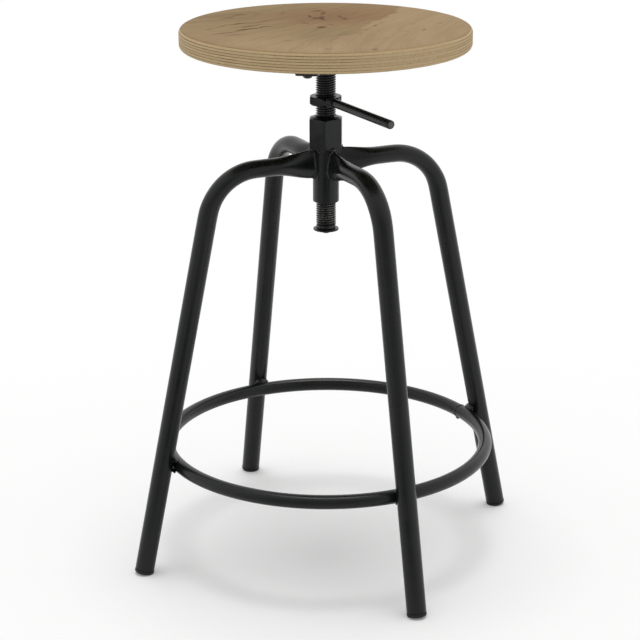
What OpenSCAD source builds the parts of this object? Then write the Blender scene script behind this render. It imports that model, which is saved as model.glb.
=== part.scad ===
// Screw-adjusted bar stool: a round plywood seat on a threaded spindle, carried by
// four bent tube legs that are pressed flat where they are welded to a central tube.
// The origin is on the floor under the spindle, +Z is up and the legs stand on the
// diagonals. All sizes are in millimetres.

/* [Seat] */
// Diameter of the plywood seat
seat_d = 370; // [320:1:400]
// Thickness of the plywood
seat_t = 26; // [20:0.5:32]
// Radius that rounds both edges of the seat
seat_edge_r = 6.3; // [2:0.1:8]
// Height of the seat's top above the floor, with the spindle wound part of the way up
seat_top = 702; // [680:1:730]

/* [Seat bracket] */
// Radius from the spindle to the tips of the bracket's arms
bracket_reach = 170; // [120:1:176]
// Width of the bracket's flat bars
bracket_w = 30; // [20:1:36]
// Thickness of the bracket's flat bars
bracket_t = 4.5; // [3:0.5:8]
// Diameter of the bracket's middle, where the spindle goes through
bracket_mid_d = 60; // [50:1:90]
// Turn of the bracket's arms about the spindle, in degrees
bracket_turn = -78; // [-90:0.5:0]
// Distance from a bracket tip to its screw
screw_inset = 12; // [10:0.5:30]
// Diameter of the screws' pan heads
screw_head_d = 12; // [8:0.5:14]
// Height of the screws' pan heads
screw_head_h = 4.3; // [2:0.1:5]
// Diameter of the screws' shanks
screw_d = 5; // [3:0.5:6]
// Depth that the screws go into the plywood
screw_depth = 14; // [8:1:16]

/* [Spindle] */
// Diameter over the spindle's thread
spindle_d = 26; // [22:0.5:28]
// Length of the spindle from its stop washer to the seat's underside
spindle_len = 237; // [222:1:260]
// Diameter of the plain end below the thread
plain_d = 25; // [18:0.5:26]
// Length of the plain end below the thread
plain_len = 5; // [2:0.5:10]
// Width of the weld bead under the bracket
bracket_bead = 5; // [3:0.5:8]

/* [Stop washer] */
// Diameter of the washer that stops the spindle from leaving the tube
stop_d = 33; // [31:0.5:40]
// Thickness of the stop washer
stop_t = 2.5; // [1.5:0.1:4]
// Diameter of the stop screw's shank
stop_screw_d = 8; // [5:0.5:10]
// Depth that the stop screw goes into the spindle
stop_screw_depth = 22; // [12:1:30]
// Diameter of the stop screw's button head
stop_head_d = 14; // [12:0.5:18]
// Height of the stop screw's button head
stop_head_h = 4.4; // [2.5:0.1:6]

/* [Nuts] */
// Width across the flats of the long nut welded on the tube
nut_af = 41; // [36:0.5:46]
// Height of the long nut
nut_h = 42.6; // [30:0.2:50]
// Turn of one corner of the long nut, in degrees
nut_turn = -72.5; // [-90:0.5:-30]
// Width across the flats of the lock nut
lock_af = 40; // [34:0.5:46]
// Height of the lock nut
lock_h = 11; // [8:0.5:16]
// Space between the long nut and the lock nut
lock_gap = 15; // [4:0.5:30]
// Width of the sloped edge round the nuts' ends
nut_chamfer = 3.4; // [1:0.1:4]
// Steepness of the nuts' sloped edge, in degrees
nut_chamfer_tilt = 42; // [25:1:55]
// Depth of the countersink at the open ends of the nuts' threads
nut_sink = 0.9; // [0.3:0.1:1.5]

/* [Lock lever] */
// Diameter of the lever's bar
lever_d = 11; // [8:0.5:12]
// Radius from the spindle to the lever's tip
lever_reach = 166; // [90:1:180]
// Turn of the lever about the spindle, in degrees
lever_turn = -42; // [-80:0.5:0]
// Radius that rounds the edge of the lever's tip
lever_tip_r = 1.6; // [0.5:0.1:3]
// Width of the weld bead where the lever meets the lock nut
lever_bead = 3; // [1.5:0.1:4]

/* [Central tube] */
// Outer diameter of the tube that the legs are welded to
hub_d = 33.7; // [32:0.1:36]
// Wall of the tube
hub_wall = 3.2; // [2:0.1:3.4]
// Length of the tube above the middle of the legs' arms
hub_above = 17; // [15:0.5:30]
// Length of the tube below the middle of the legs' arms
hub_below = 52.5; // [30:0.5:60]
// Width of the weld beads at the tube
hub_bead = 3; // [2:0.1:4]

/* [Legs] */
// Outer diameter of the leg tubes
leg_d = 25; // [20:0.5:28]
// Wall of the leg tubes
leg_wall = 1.5; // [1:0.1:2]
// Radius of the circle on which the legs meet the floor
foot_reach = 265.5; // [230:0.5:300]
// Lean of the legs away from upright, in degrees
splay = 12; // [8:0.5:16]
// Distance from the seat's top down to the middle of the legs' level arms
arm_drop = 174.5; // [160:0.5:200]
// Radius of the bend, to the middle of the tube
bend_r = 68; // [55:1:75]
// Height of the pressed end of an arm
press_h = 37.4; // [30:0.2:38]
// Width of the pressed end of an arm
press_w = 9; // [6:0.2:14]
// Length over which the round tube turns into the pressed end
press_len = 56; // [35:1:60]
// Distance that the middle of the pressed end lies below the arm's middle
press_drop = 1.9; // [0:0.1:3]

/* [Foot ring] */
// Outer diameter of the ring's tube
ring_d = 18; // [14:0.5:22]
// Wall of the ring's tube
ring_wall = 1.5; // [1:0.1:2]
// Height of the middle of the ring
ring_z = 144; // [100:1:220]
// Radius of the weld beads between ring and legs
ring_bead_r = 8.4; // [6:0.2:10]
// Turn of the ring's butt weld, in degrees
seam_turn = 48.7; // [47.5:0.1:70]
// Length of the butt weld along the ring
seam_len = 2.4; // [1.5:0.1:4]
// Height of the butt weld's bead over the tube
seam_proud = 0.6; // [0.3:0.1:1]

/* [Foot caps] */
// Height of a cap's head below the end of the leg tube
cap_head_h = 5; // [4:0.2:8]
// Radius that rounds the lower edge of a cap
cap_edge_r = 2.6; // [1:0.1:3]
// Length of the plug inside the leg tube
cap_plug_h = 20; // [10:1:30]
// Height of the cap's lowest edge that is trimmed away, level with the floor
cap_trim = 1.5; // [0.2:0.1:2]

/* [Clearances] */
// Gap on each side of the spindle in the nuts' threads
thread_gap = 0.05; // [0.02:0.01:0.1]
// Gap on each side of a cap's plug in its tube
plug_gap = 0.05; // [0.02:0.01:0.1]
// Gap between the ring and the legs, filled by their welds
weld_gap = 0.2; // [0.1:0.05:0.3]
// Gap round the stop screw in its washer
washer_gap = 0.2; // [0.1:0.05:0.3]

/* [Hidden] */
$fn = 96;

// Turns of the legs about the spindle
BACK_RIGHT = 45;
BACK_LEFT = 135;
FRONT_LEFT = 225;
FRONT_RIGHT = 315;
LEG_TURNS = [BACK_RIGHT, BACK_LEFT, FRONT_LEFT, FRONT_RIGHT];
BRACKET_ARMS = 4;

// Facets of the pressed arms: points round a section and sections along the arm
section_n = 24;
press_n = 9;
// Overlap of a pressed end with the round tube, and its play inside that tube
press_lap = 0.5;
press_play = 0.04;
// Sharpness of the pressed end's upper ridge, from 0 for an even oval
ridge = 0.5;
// Height of the hairline swell that a leg shows where its bend starts and ends
bend_swell = 0.03;
// Half of the ring's arc that is cut out of a weld bead, in degrees, and its facets in a turn
weld_angle = 10;
weld_angle_n = 720;

// Levels from the floor up
arm_z = seat_top - arm_drop;
hub_bottom = arm_z - hub_below;
hub_top = arm_z + hub_above;
nut_top = hub_top + nut_h;
lock_bottom = nut_top + lock_gap;
lock_top = lock_bottom + lock_h;
seat_under = seat_top - seat_t;
bracket_under = seat_under - bracket_t;
spindle_end = seat_under - spindle_len;
stop_under = spindle_end - stop_t;

// Bend of a leg in its own upright plane: its centre, and the straight part's length
hub_r = hub_d / 2;
bend_z = arm_z - bend_r;
bend_x = foot_reach - (bend_r + bend_z * sin(splay)) / cos(splay);
straight_len = (bend_z + bend_r * sin(splay)) / cos(splay);
press_start = hub_r + press_len;
leg_bore = leg_d - 2 * leg_wall;

// Foot of a leg: the sole's middle lies a little under the floor, and is trimmed level
sole_s = (sin(splay) * (leg_d / 2 - cap_edge_r) + cap_edge_r * (1 - cos(splay)) - cap_trim) / cos(splay);
tube_end_s = sole_s + cap_head_h;

// Foot ring: it touches the inner side of the legs at its own height
leg_to_ring = (leg_d + ring_d) / 2 + weld_gap;
ring_r = foot_reach - ring_z * tan(splay) - leg_to_ring / cos(splay);
seam_angle = seam_len / ring_r * 180 / PI;

// Angle about the tube that an arm and its weld bead take, and what is left between them
arm_half_angle = asin((press_w / 2 + hub_bead) / hub_r);
nut_weld_span = 90 - 2 * arm_half_angle - 6;

// Smooth step from 0 to 1
function ease(t) = t * t * (3 - 2 * t);

// One section of the pressed arm at radius r, grown outward by g
function press_share(r) = ease(min(1, max(0, (press_start - r) / press_len)));
function mix(a, b, s) = a + (b - a) * s;
function arm_section(r, d, g) =
    let (s = press_share(r),
         half_h = mix(d / 2, press_h / 2 - (leg_d - d) / 2, s) + g,
         half_w = mix(d / 2, press_w / 2 - (leg_d - d) / 2, s) + g,
         mid = arm_z - press_drop * s)
    [for (i = [0:section_n - 1])
        let (a = 360 * i / section_n)
        [r, half_w * sin(a) * (1 - ridge * s * cos(a)), mid + half_h * cos(a)]];

// Skin over a row of sections that all have the same number of points
module skin(sections) {
    n = len(sections[0]);
    last = len(sections) - 1;
    points = [for (s = sections, p = s) p];
    start_cap = [for (i = [0:n - 1]) i];
    end_cap = [for (i = [n - 1:-1:0]) last * n + i];
    sides = [for (k = [0:last - 1], i = [0:n - 1], half = [0, 1])
        let (j = (i + 1) % n, a = k * n, b = (k + 1) * n)
        half == 0 ? [a + i, b + i, b + j] : [a + i, b + j, a + j]];
    polyhedron(points = points, faces = concat([start_cap], sides, [end_cap]), convexity = 4);
}

// The pressed part of an arm, from inside the round tube to inside the central tube
module pressed_arm(d) {
    lap = press_start + press_lap;
    rows = [for (k = [0:press_n]) press_start - press_len * k / press_n];
    inner_r = hub_r / 2;
    skin(concat(
        [arm_section(lap, d, -press_play)],
        [for (r = rows) arm_section(r, d, r == press_start ? -press_play : 0)],
        [arm_section(inner_r, d, 0)]
    ));
}

// The full path of a leg as a round bar of diameter d, from s0 along its straight part
module leg_path(d, s0) {
    translate([foot_reach, 0, 0])
        rotate([0, -splay, 0])
            translate([0, 0, s0])
                cylinder(d = d, h = straight_len - s0);
    translate([bend_x, 0, bend_z])
        rotate([90, 0, 0])
            rotate([0, 0, splay])
                rotate_extrude(angle = 90 - splay)
                    translate([bend_r, 0])
                        circle(d = d);
    translate([foot_reach - straight_len * sin(splay), 0, straight_len * cos(splay)])
        sphere(d = d + 2 * bend_swell);
    translate([bend_x, 0, arm_z])
        sphere(d = d + 2 * bend_swell);
    translate([press_start, 0, arm_z])
        rotate([0, 90, 0])
            cylinder(d = d, h = bend_x - press_start);
    pressed_arm(d);
}

// A leg: bent tube, open at the foot and shaped to the central tube at its pressed end
module leg(turn) {
    color("#262927")
        rotate([0, 0, turn])
            difference() {
                leg_path(leg_d, tube_end_s);
                leg_path(leg_bore, tube_end_s);
                translate([0, 0, hub_bottom])
                    cylinder(d = hub_d, h = hub_below + hub_above);
            }
}

// Weld bead round one pressed end
module arm_weld(turn) {
    near = hub_r - hub_bead;
    far = hub_r + hub_bead;
    rotate([0, 0, turn])
        difference() {
            skin([
                arm_section(far, leg_d, 0.3),
                arm_section(hub_r + hub_bead * 0.4, leg_d, hub_bead * 0.7),
                arm_section(near, leg_d, hub_bead)
            ]);
            pressed_arm(leg_d);
            translate([0, 0, hub_bottom])
                cylinder(d = hub_d, h = hub_below + hub_above);
            translate([0, 0, hub_top])
                cylinder(r = far + hub_bead, h = nut_h);
        }
}

module arm_welds() {
    color("#2b2e2c")
        for (turn = LEG_TURNS) arm_weld(turn);
}

// Plastic cap: a plug in the tube and a rounded head, trimmed level with the floor
module cap(turn) {
    head_r = leg_d / 2;
    color("#1c1e1d")
        rotate([0, 0, turn])
            difference() {
                translate([foot_reach, 0, 0])
                    rotate([0, -splay, 0])
                        translate([0, 0, sole_s])
                            rotate_extrude() {
                                square([head_r - cap_edge_r, cap_head_h]);
                                translate([0, cap_edge_r])
                                    square([head_r, cap_head_h - cap_edge_r]);
                                translate([head_r - cap_edge_r, cap_edge_r])
                                    intersection() {
                                        circle(r = cap_edge_r);
                                        translate([0, -cap_edge_r])
                                            square(2 * cap_edge_r);
                                    }
                                translate([0, cap_head_h])
                                    square([leg_bore / 2 - plug_gap, cap_plug_h]);
                            }
                translate([foot_reach - leg_d, -leg_d, -leg_d])
                    cube([2 * leg_d, 2 * leg_d, leg_d]);
            }
}

// Round foot ring, a tube bent to a circle and closed by its butt weld
module foot_ring() {
    color("#262927")
        translate([0, 0, ring_z])
            rotate([0, 0, seam_turn + seam_angle / 2])
                rotate_extrude(angle = 360 - seam_angle)
                    translate([ring_r, 0])
                        difference() {
                            circle(d = ring_d);
                            circle(d = ring_d - 2 * ring_wall);
                        }
}

module ring_seam() {
    color("#2b2e2c")
        translate([0, 0, ring_z])
            rotate([0, 0, seam_turn - seam_angle / 2])
                rotate_extrude(angle = seam_angle)
                    translate([ring_r, 0])
                        circle(d = ring_d + 2 * seam_proud);
}

// Weld bead between the ring and one leg, round the point where they touch
module ring_weld(turn) {
    touch = (ring_d + weld_gap) / 2;
    rotate([0, 0, turn])
        difference() {
            translate([ring_r + touch * cos(splay), 0, ring_z + touch * sin(splay)])
                sphere(r = ring_bead_r);
            translate([foot_reach, 0, 0])
                rotate([0, -splay, 0])
                    cylinder(d = leg_d, h = straight_len);
            translate([0, 0, ring_z])
                rotate([0, 0, -weld_angle])
                    rotate_extrude(angle = 2 * weld_angle, $fn = weld_angle_n)
                        translate([ring_r, 0])
                            circle(d = ring_d, $fn = 96);
        }
}

module ring_welds() {
    color("#2b2e2c")
        for (turn = LEG_TURNS) ring_weld(turn);
}

// Central tube that the spindle runs through
module hub_tube() {
    color("#232624")
        translate([0, 0, hub_bottom])
            difference() {
                cylinder(d = hub_d, h = hub_top - hub_bottom);
                translate([0, 0, -1])
                    cylinder(d = hub_d - 2 * hub_wall, h = hub_top - hub_bottom + 2);
            }
}

// Fillet beads under the long nut, between the arms
module nut_welds() {
    color("#2b2e2c")
        for (turn = LEG_TURNS)
            rotate([0, 0, turn + 45 - nut_weld_span / 2])
                translate([0, 0, hub_top])
                    rotate_extrude(angle = nut_weld_span)
                        polygon([[hub_r, 0], [hub_r + hub_bead, 0], [hub_r, -hub_bead]]);
}

// Hexagonal nut whose chosen ends have a sloped edge and a countersunk thread
module hex_nut(af, h, slope_top, slope_bottom) {
    corner_r = af / sqrt(3);
    bore_r = spindle_d / 2 + thread_gap;
    face_r = corner_r - nut_chamfer;
    wide_r = corner_r + 1;
    rise = (wide_r - face_r) * tan(nut_chamfer_tilt);
    difference() {
        intersection() {
            cylinder(r = corner_r, h = h, $fn = 6);
            rotate_extrude()
                polygon(concat(
                    [[0, 0]],
                    slope_bottom ? [[face_r, 0], [wide_r, rise]] : [[wide_r, 0]],
                    slope_top ? [[wide_r, h - rise], [face_r, h]] : [[wide_r, h]],
                    [[0, h]]
                ));
        }
        translate([0, 0, -1])
            cylinder(r = bore_r, h = h + 2);
        if (slope_top)
            translate([0, 0, h - nut_sink])
                cylinder(r1 = bore_r, r2 = bore_r + 2 * nut_sink, h = 2 * nut_sink);
        if (slope_bottom)
            translate([0, 0, -nut_sink])
                cylinder(r1 = bore_r + 2 * nut_sink, r2 = bore_r, h = 2 * nut_sink);
    }
}

module long_nut() {
    color("#262927")
        translate([0, 0, hub_top])
            rotate([0, 0, nut_turn])
                hex_nut(nut_af, nut_h, true, false);
}

module lock_nut() {
    color("#202322")
        translate([0, 0, lock_bottom])
            rotate([0, 0, lever_turn - 30])
                hex_nut(lock_af, lock_h, true, true);
}

// Places a shape on the lock nut's flat, with +Z along the lever
module on_lever_flat() {
    translate([0, 0, lock_bottom + lock_h / 2])
        rotate([0, 90, lever_turn])
            translate([0, 0, lock_af / 2])
                children();
}

module lock_lever() {
    bar_len = lever_reach - lock_af / 2;
    color("#202322")
        on_lever_flat()
            rotate_extrude() {
                square([lever_d / 2, bar_len - lever_tip_r]);
                square([lever_d / 2 - lever_tip_r, bar_len]);
                translate([lever_d / 2 - lever_tip_r, bar_len - lever_tip_r])
                    intersection() {
                        circle(r = lever_tip_r);
                        square(lever_tip_r);
                    }
            }
}

// Bead round the lever's foot, within the lock nut's flat
module lever_weld() {
    color("#2b2e2c")
        intersection() {
            on_lever_flat()
                rotate_extrude()
                    polygon([
                        [lever_d / 2, 0],
                        [lever_d / 2 + lever_bead, 0],
                        [lever_d / 2, lever_bead]
                    ]);
            translate([0, 0, lock_bottom])
                cylinder(r = lever_reach, h = lock_h);
        }
}

// Threaded spindle: plain end, threaded length as a cylinder, tapped for the stop screw
module spindle() {
    color("#1d1f1e")
        translate([0, 0, spindle_end])
            difference() {
                union() {
                    cylinder(d = plain_d, h = plain_len);
                    translate([0, 0, plain_len])
                        cylinder(d = spindle_d, h = spindle_len - plain_len);
                }
                translate([0, 0, -1])
                    cylinder(d = stop_screw_d, h = stop_screw_depth + 1);
            }
}

module stop_washer() {
    color("#2a2d2b")
        translate([0, 0, stop_under])
            difference() {
                cylinder(d = stop_d, h = stop_t);
                translate([0, 0, -1])
                    cylinder(d = stop_screw_d + 2 * washer_gap, h = stop_t + 2);
            }
}

module stop_screw() {
    key_af = stop_screw_d * 0.625;
    color("#303331")
        translate([0, 0, stop_under])
            difference() {
                union() {
                    cylinder(d = stop_screw_d, h = stop_t + stop_screw_depth);
                    translate([0, 0, -stop_head_h])
                        cylinder(d1 = stop_head_d * 0.72, d2 = stop_head_d, h = stop_head_h);
                }
                translate([0, 0, -stop_head_h - 1])
                    cylinder(d = key_af * 2 / sqrt(3), h = stop_head_h * 0.6 + 1, $fn = 6);
            }
}

// Flat bars in a cross under the seat, with round ends
module seat_bracket() {
    color("#232624")
        translate([0, 0, bracket_under])
            difference() {
                union() {
                    cylinder(d = bracket_mid_d, h = bracket_t);
                    for (k = [0:BRACKET_ARMS / 2 - 1])
                        rotate([0, 0, bracket_turn + k * 360 / BRACKET_ARMS])
                            bracket_bar();
                }
                translate([0, 0, -1])
                    cylinder(d = spindle_d, h = bracket_t + 2);
                at_screws()
                    translate([0, 0, -1])
                        cylinder(d = screw_d, h = bracket_t + 2);
            }
}

module bracket_bar() {
    end_x = bracket_reach - bracket_w / 2;
    translate([-end_x, -bracket_w / 2, 0])
        cube([2 * end_x, bracket_w, bracket_t]);
    for (side = [-1, 1])
        translate([side * end_x, 0, 0])
            cylinder(d = bracket_w, h = bracket_t);
}

// Places a shape at each of the bracket's screws
module at_screws() {
    for (k = [0:BRACKET_ARMS - 1])
        rotate([0, 0, bracket_turn + k * 360 / BRACKET_ARMS])
            translate([bracket_reach - screw_inset, 0, 0])
                children();
}

module bracket_screws() {
    top_r = screw_head_d / 2;
    color("#1b1d1c")
        translate([0, 0, bracket_under])
            at_screws() {
                cylinder(d = screw_d, h = bracket_t + screw_depth);
                translate([0, 0, -screw_head_h])
                    cylinder(r1 = top_r * 0.7, r2 = top_r, h = screw_head_h * 0.5);
                translate([0, 0, -screw_head_h * 0.5])
                    cylinder(r = top_r, h = screw_head_h * 0.5);
            }
}

// Fillet bead between the spindle and the bracket's underside
module bracket_weld() {
    color("#2b2e2c")
        translate([0, 0, bracket_under])
            rotate_extrude()
                polygon([
                    [spindle_d / 2, 0],
                    [spindle_d / 2 + bracket_bead, 0],
                    [spindle_d / 2, -bracket_bead]
                ]);
}

// Round plywood seat with both edges rounded, drilled for the screws
module seat_board() {
    r = seat_d / 2;
    inner = r - seat_edge_r;
    color("#a98f6c")
        translate([0, 0, seat_under])
            difference() {
                rotate_extrude($fn = 180) {
                    square([inner, seat_t]);
                    translate([0, seat_edge_r])
                        square([r, seat_t - 2 * seat_edge_r]);
                    for (z = [seat_edge_r, seat_t - seat_edge_r])
                        translate([inner, z])
                            circle(r = seat_edge_r);
                }
                at_screws()
                    translate([0, 0, -1])
                        cylinder(d = screw_d, h = screw_depth + 1);
            }
}

seat_board();
seat_bracket();
bracket_screws();
bracket_weld();
spindle();
stop_washer();
stop_screw();
lock_nut();
lock_lever();
lever_weld();
long_nut();
nut_welds();
hub_tube();
arm_welds();
leg(BACK_RIGHT);  // leg_back_right
leg(BACK_LEFT);  // leg_back_left
leg(FRONT_LEFT);  // leg_front_left
leg(FRONT_RIGHT);  // leg_front_right
foot_ring();
ring_seam();
ring_welds();
cap(BACK_RIGHT);  // cap_back_right
cap(BACK_LEFT);  // cap_back_left
cap(FRONT_LEFT);  // cap_front_left
cap(FRONT_RIGHT);  // cap_front_right
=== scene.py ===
"""Looks of a screw-adjusted bar stool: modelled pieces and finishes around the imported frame.

Every piece is modelled in metres in the frame's own axes, rides on the body of the node that it
stands for, and keeps its object at the origin with its place in its mesh.
"""

import logging
import math
import random
from dataclasses import dataclass
from enum import Enum
from typing import Any, Callable, Optional, Sequence

import bmesh
import bpy
from mathutils import Matrix, Vector


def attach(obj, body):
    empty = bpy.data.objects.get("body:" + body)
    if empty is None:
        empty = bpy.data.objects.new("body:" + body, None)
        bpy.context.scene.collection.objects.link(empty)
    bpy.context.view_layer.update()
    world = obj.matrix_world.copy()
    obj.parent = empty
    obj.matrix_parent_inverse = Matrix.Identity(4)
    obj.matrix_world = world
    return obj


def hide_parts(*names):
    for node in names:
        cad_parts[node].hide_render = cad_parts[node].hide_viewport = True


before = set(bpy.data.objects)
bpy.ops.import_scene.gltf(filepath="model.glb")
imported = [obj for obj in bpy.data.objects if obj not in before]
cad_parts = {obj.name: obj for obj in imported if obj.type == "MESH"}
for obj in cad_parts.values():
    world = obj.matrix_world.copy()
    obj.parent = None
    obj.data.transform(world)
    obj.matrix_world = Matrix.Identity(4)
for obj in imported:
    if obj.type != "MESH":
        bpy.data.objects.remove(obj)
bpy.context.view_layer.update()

LOG = logging.getLogger("bar_stool")
MM = 0.001
FULL_TURN = 2 * math.pi
# How far a point may lie from a place and still be picked as being there
NEAR = 0.1 * MM
CLOSE = 0.01 * MM
# How far a point may lie from a cut and still be on it
ON_CUT = 1e-7

Point2 = tuple[float, float]
Point3 = tuple[float, float, float]
Test = Callable[[Vector], bool]


class Pick(Enum):
    """What a selection is made of, by the name that the edit tools use."""

    POINTS = "VERT"
    EDGES = "EDGE"
    FACES = "FACE"


class Corner(Enum):
    """The stool's corners, by the turn of each about the spindle in degrees."""

    BACK_RIGHT = 45
    BACK_LEFT = 135
    FRONT_LEFT = 225
    FRONT_RIGHT = 315

    @property
    def label(self) -> str:
        """The corner's name as the nodes spell it."""
        return self.name.lower()

    @property
    def turn(self) -> float:
        """The corner's turn in radians."""
        return math.radians(self.value)


# Edit tools


def rest_hands() -> None:
    """Leaves edit mode and deselects every object."""
    if bpy.context.mode != "OBJECT":
        bpy.ops.object.mode_set(mode="OBJECT")
    bpy.ops.object.select_all(action="DESELECT")


def hold(piece: bpy.types.Object) -> None:
    """Makes a piece the active one and the only selected one, in object mode.

    Args:
        piece: The piece.
    """
    rest_hands()
    bpy.context.view_layer.objects.active = piece
    piece.select_set(True)


def name_piece(piece: bpy.types.Object, name: str) -> None:
    """Names a piece and its mesh."""
    piece.name = name
    piece.data.name = name


def open_piece(name: str) -> bpy.types.Object:
    """Names the primitive that was just added, moves its place into its mesh and opens it.

    Args:
        name: Name for the object and its mesh.

    Returns:
        The object, in edit mode with everything selected.
    """
    piece = bpy.context.active_object
    name_piece(piece, name)
    bpy.ops.object.transform_apply(location=True, rotation=True, scale=True)
    bpy.ops.object.mode_set(mode="EDIT")
    bpy.ops.mesh.select_all(action="SELECT")
    return piece


def pick(kind: Pick, test: Test) -> None:
    """Selects the points, edges or faces of the open piece whose middle passes a test.

    Args:
        kind: What is selected.
        test: Says for a middle point, in the frame's axes, if the element is wanted.
    """
    bpy.ops.mesh.select_mode(type=kind.value)
    bpy.ops.mesh.select_all(action="DESELECT")
    data = bpy.context.edit_object.data
    mesh = bmesh.from_edit_mesh(data)
    if kind is Pick.POINTS:
        wanted = [point for point in mesh.verts if test(point.co)]
    elif kind is Pick.EDGES:
        wanted = [edge for edge in mesh.edges if test((edge.verts[0].co + edge.verts[1].co) / 2)]
    else:
        wanted = [face for face in mesh.faces if test(face.calc_center_median())]
    for element in wanted:
        element.select_set(True)
    mesh.select_flush_mode()
    bmesh.update_edit_mesh(data)


def reach_of_selection(direction: Vector) -> float:
    """How far the selected points of the open piece reach along a direction from the axis."""
    mesh = bmesh.from_edit_mesh(bpy.context.edit_object.data)
    return max(point.co.dot(direction) for point in mesh.verts if point.select)


def extrude(offset: Sequence[float]) -> None:
    """Extrudes what is selected and moves the new geometry by an offset."""
    bpy.ops.mesh.extrude_region_move(TRANSFORM_OT_translate={"value": tuple(offset)})


def turn(angle: float, axis: str, centre: Sequence[float]) -> None:
    """Turns what is selected by the right-hand rule about "X", "Y" or "Z" through a point."""
    bpy.ops.transform.rotate(value=-angle, orient_axis=axis, center_override=tuple(centre))


def resize(factors: Sequence[float], centre: Sequence[float], axes: Optional[Matrix] = None) -> None:
    """Scales what is selected about a point.

    Args:
        factors: Factor along each of the three axes.
        centre: Point that stays where it is.
        axes: Columns that are the axes to scale along, or None for the frame's own.
    """
    extra: dict[str, Any] = {}
    if axes is not None:
        extra = {"orient_type": "GLOBAL", "orient_matrix": axes, "orient_matrix_type": "GLOBAL"}
    bpy.ops.transform.resize(value=tuple(factors), center_override=tuple(centre), **extra)


def shape_with(piece: bpy.types.Object, kind: str, **settings: Any) -> None:
    """Adds a modifier to a piece and applies it.

    Args:
        piece: The piece to shape.
        kind: The modifier's type.
        **settings: Values for the modifier's own settings.
    """
    hold(piece)
    modifier = piece.modifiers.new(kind.title(), kind)
    for key, value in settings.items():
        setattr(modifier, key, value)
    bpy.ops.object.modifier_apply(modifier=modifier.name)


def close_piece(piece: bpy.types.Object, corner: float = 35.0, merge: float = 1e-6) -> bpy.types.Object:
    """Merges double points, turns the faces outward, leaves edit mode and sets the shading.

    Args:
        piece: The piece to finish.
        corner: Edges sharper than this many degrees stay sharp.
        merge: Distance under which points are one.

    Returns:
        The same piece.
    """
    hold(piece)
    bpy.ops.object.mode_set(mode="EDIT")
    bpy.ops.mesh.select_all(action="SELECT")
    bpy.ops.mesh.remove_doubles(threshold=merge)
    bpy.ops.mesh.normals_make_consistent(inside=False)
    bpy.ops.object.mode_set(mode="OBJECT")
    bpy.ops.object.shade_smooth_by_angle(angle=math.radians(corner))
    return piece


def place(piece: bpy.types.Object, matrix: Matrix) -> bpy.types.Object:
    """Moves a piece and keeps its object at the origin.

    Args:
        piece: The piece to move.
        matrix: How it is moved.

    Returns:
        The same piece.
    """
    hold(piece)
    piece.matrix_world = matrix @ piece.matrix_world
    bpy.ops.object.transform_apply(location=True, rotation=True, scale=True)
    return piece


def copy_of(piece: bpy.types.Object, name: str, matrix: Matrix) -> bpy.types.Object:
    """Copies a piece with a mesh of its own and moves the copy.

    Args:
        piece: The piece to copy.
        name: Name for the copy and its mesh.
        matrix: How the copy is moved.

    Returns:
        The copy.
    """
    hold(piece)
    bpy.ops.object.duplicate(linked=False)
    copy = bpy.context.active_object
    name_piece(copy, name)
    return place(copy, matrix)


def join(pieces: Sequence[bpy.types.Object], name: str) -> bpy.types.Object:
    """Joins pieces into one.

    Args:
        pieces: The pieces. The first takes in the others.
        name: Name for the joined piece.

    Returns:
        The joined piece.
    """
    hold(pieces[0])
    for piece in pieces[1:]:
        piece.select_set(True)
    bpy.ops.object.join()
    name_piece(pieces[0], name)
    return pieces[0]


def discard(piece: bpy.types.Object) -> None:
    """Removes a helper shape."""
    bpy.data.objects.remove(piece, do_unlink=True)


def cut_level(piece: bpy.types.Object, height: float, keep_above: bool) -> None:
    """Cuts a piece off at a height and closes the cut with a flat face.

    Args:
        piece: The piece to cut.
        height: Height of the cut above the floor.
        keep_above: True keeps what lies above the cut, False what lies below.
    """
    hold(piece)
    bpy.ops.object.mode_set(mode="EDIT")
    bpy.ops.mesh.select_all(action="SELECT")
    bpy.ops.mesh.bisect(
        plane_co=(0, 0, height), plane_no=(0, 0, 1), use_fill=True,
        clear_inner=keep_above, clear_outer=not keep_above, threshold=ON_CUT,
    )
    bpy.ops.object.mode_set(mode="OBJECT")


def carve(piece: bpy.types.Object, tool: bpy.types.Object, operation: str) -> None:
    """Combines a piece with a tool shape, by "DIFFERENCE" or "INTERSECT", and removes the tool."""
    shape_with(piece, "BOOLEAN", object=tool, operation=operation, solver="EXACT")
    discard(tool)


# Places and outlines


def about_z(angle: float) -> Matrix:
    """A turn about the spindle, in radians."""
    return Matrix.Rotation(angle, 4, "Z")


def around(radius: float, angle: float, height: float) -> Vector:
    """The point at a radius, a turn in radians about the spindle and a height."""
    return Vector((radius * math.cos(angle), radius * math.sin(angle), height))


def ease(share: float) -> float:
    """A smooth step from 0 to 1."""
    share = min(1.0, max(0.0, share))
    return share * share * (3 - 2 * share)


def blend_of(start: float, end: float, share: float) -> float:
    """The value that lies at a share of the way from start to end."""
    return start + (end - start) * share


def arc(centre: Point2, radius: float, start: float, end: float, count: int = 5) -> list[Point2]:
    """Points along an arc.

    Args:
        centre: Middle of the arc.
        radius: Its radius.
        start: First point's angle in degrees, from the first axis to the second.
        end: Last point's angle in degrees.
        count: Number of steps.

    Returns:
        The points, both ends among them.
    """
    angles = [math.radians(start + (end - start) * k / count) for k in range(count + 1)]
    return [(centre[0] + radius * math.cos(a), centre[1] + radius * math.sin(a)) for a in angles]


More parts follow.
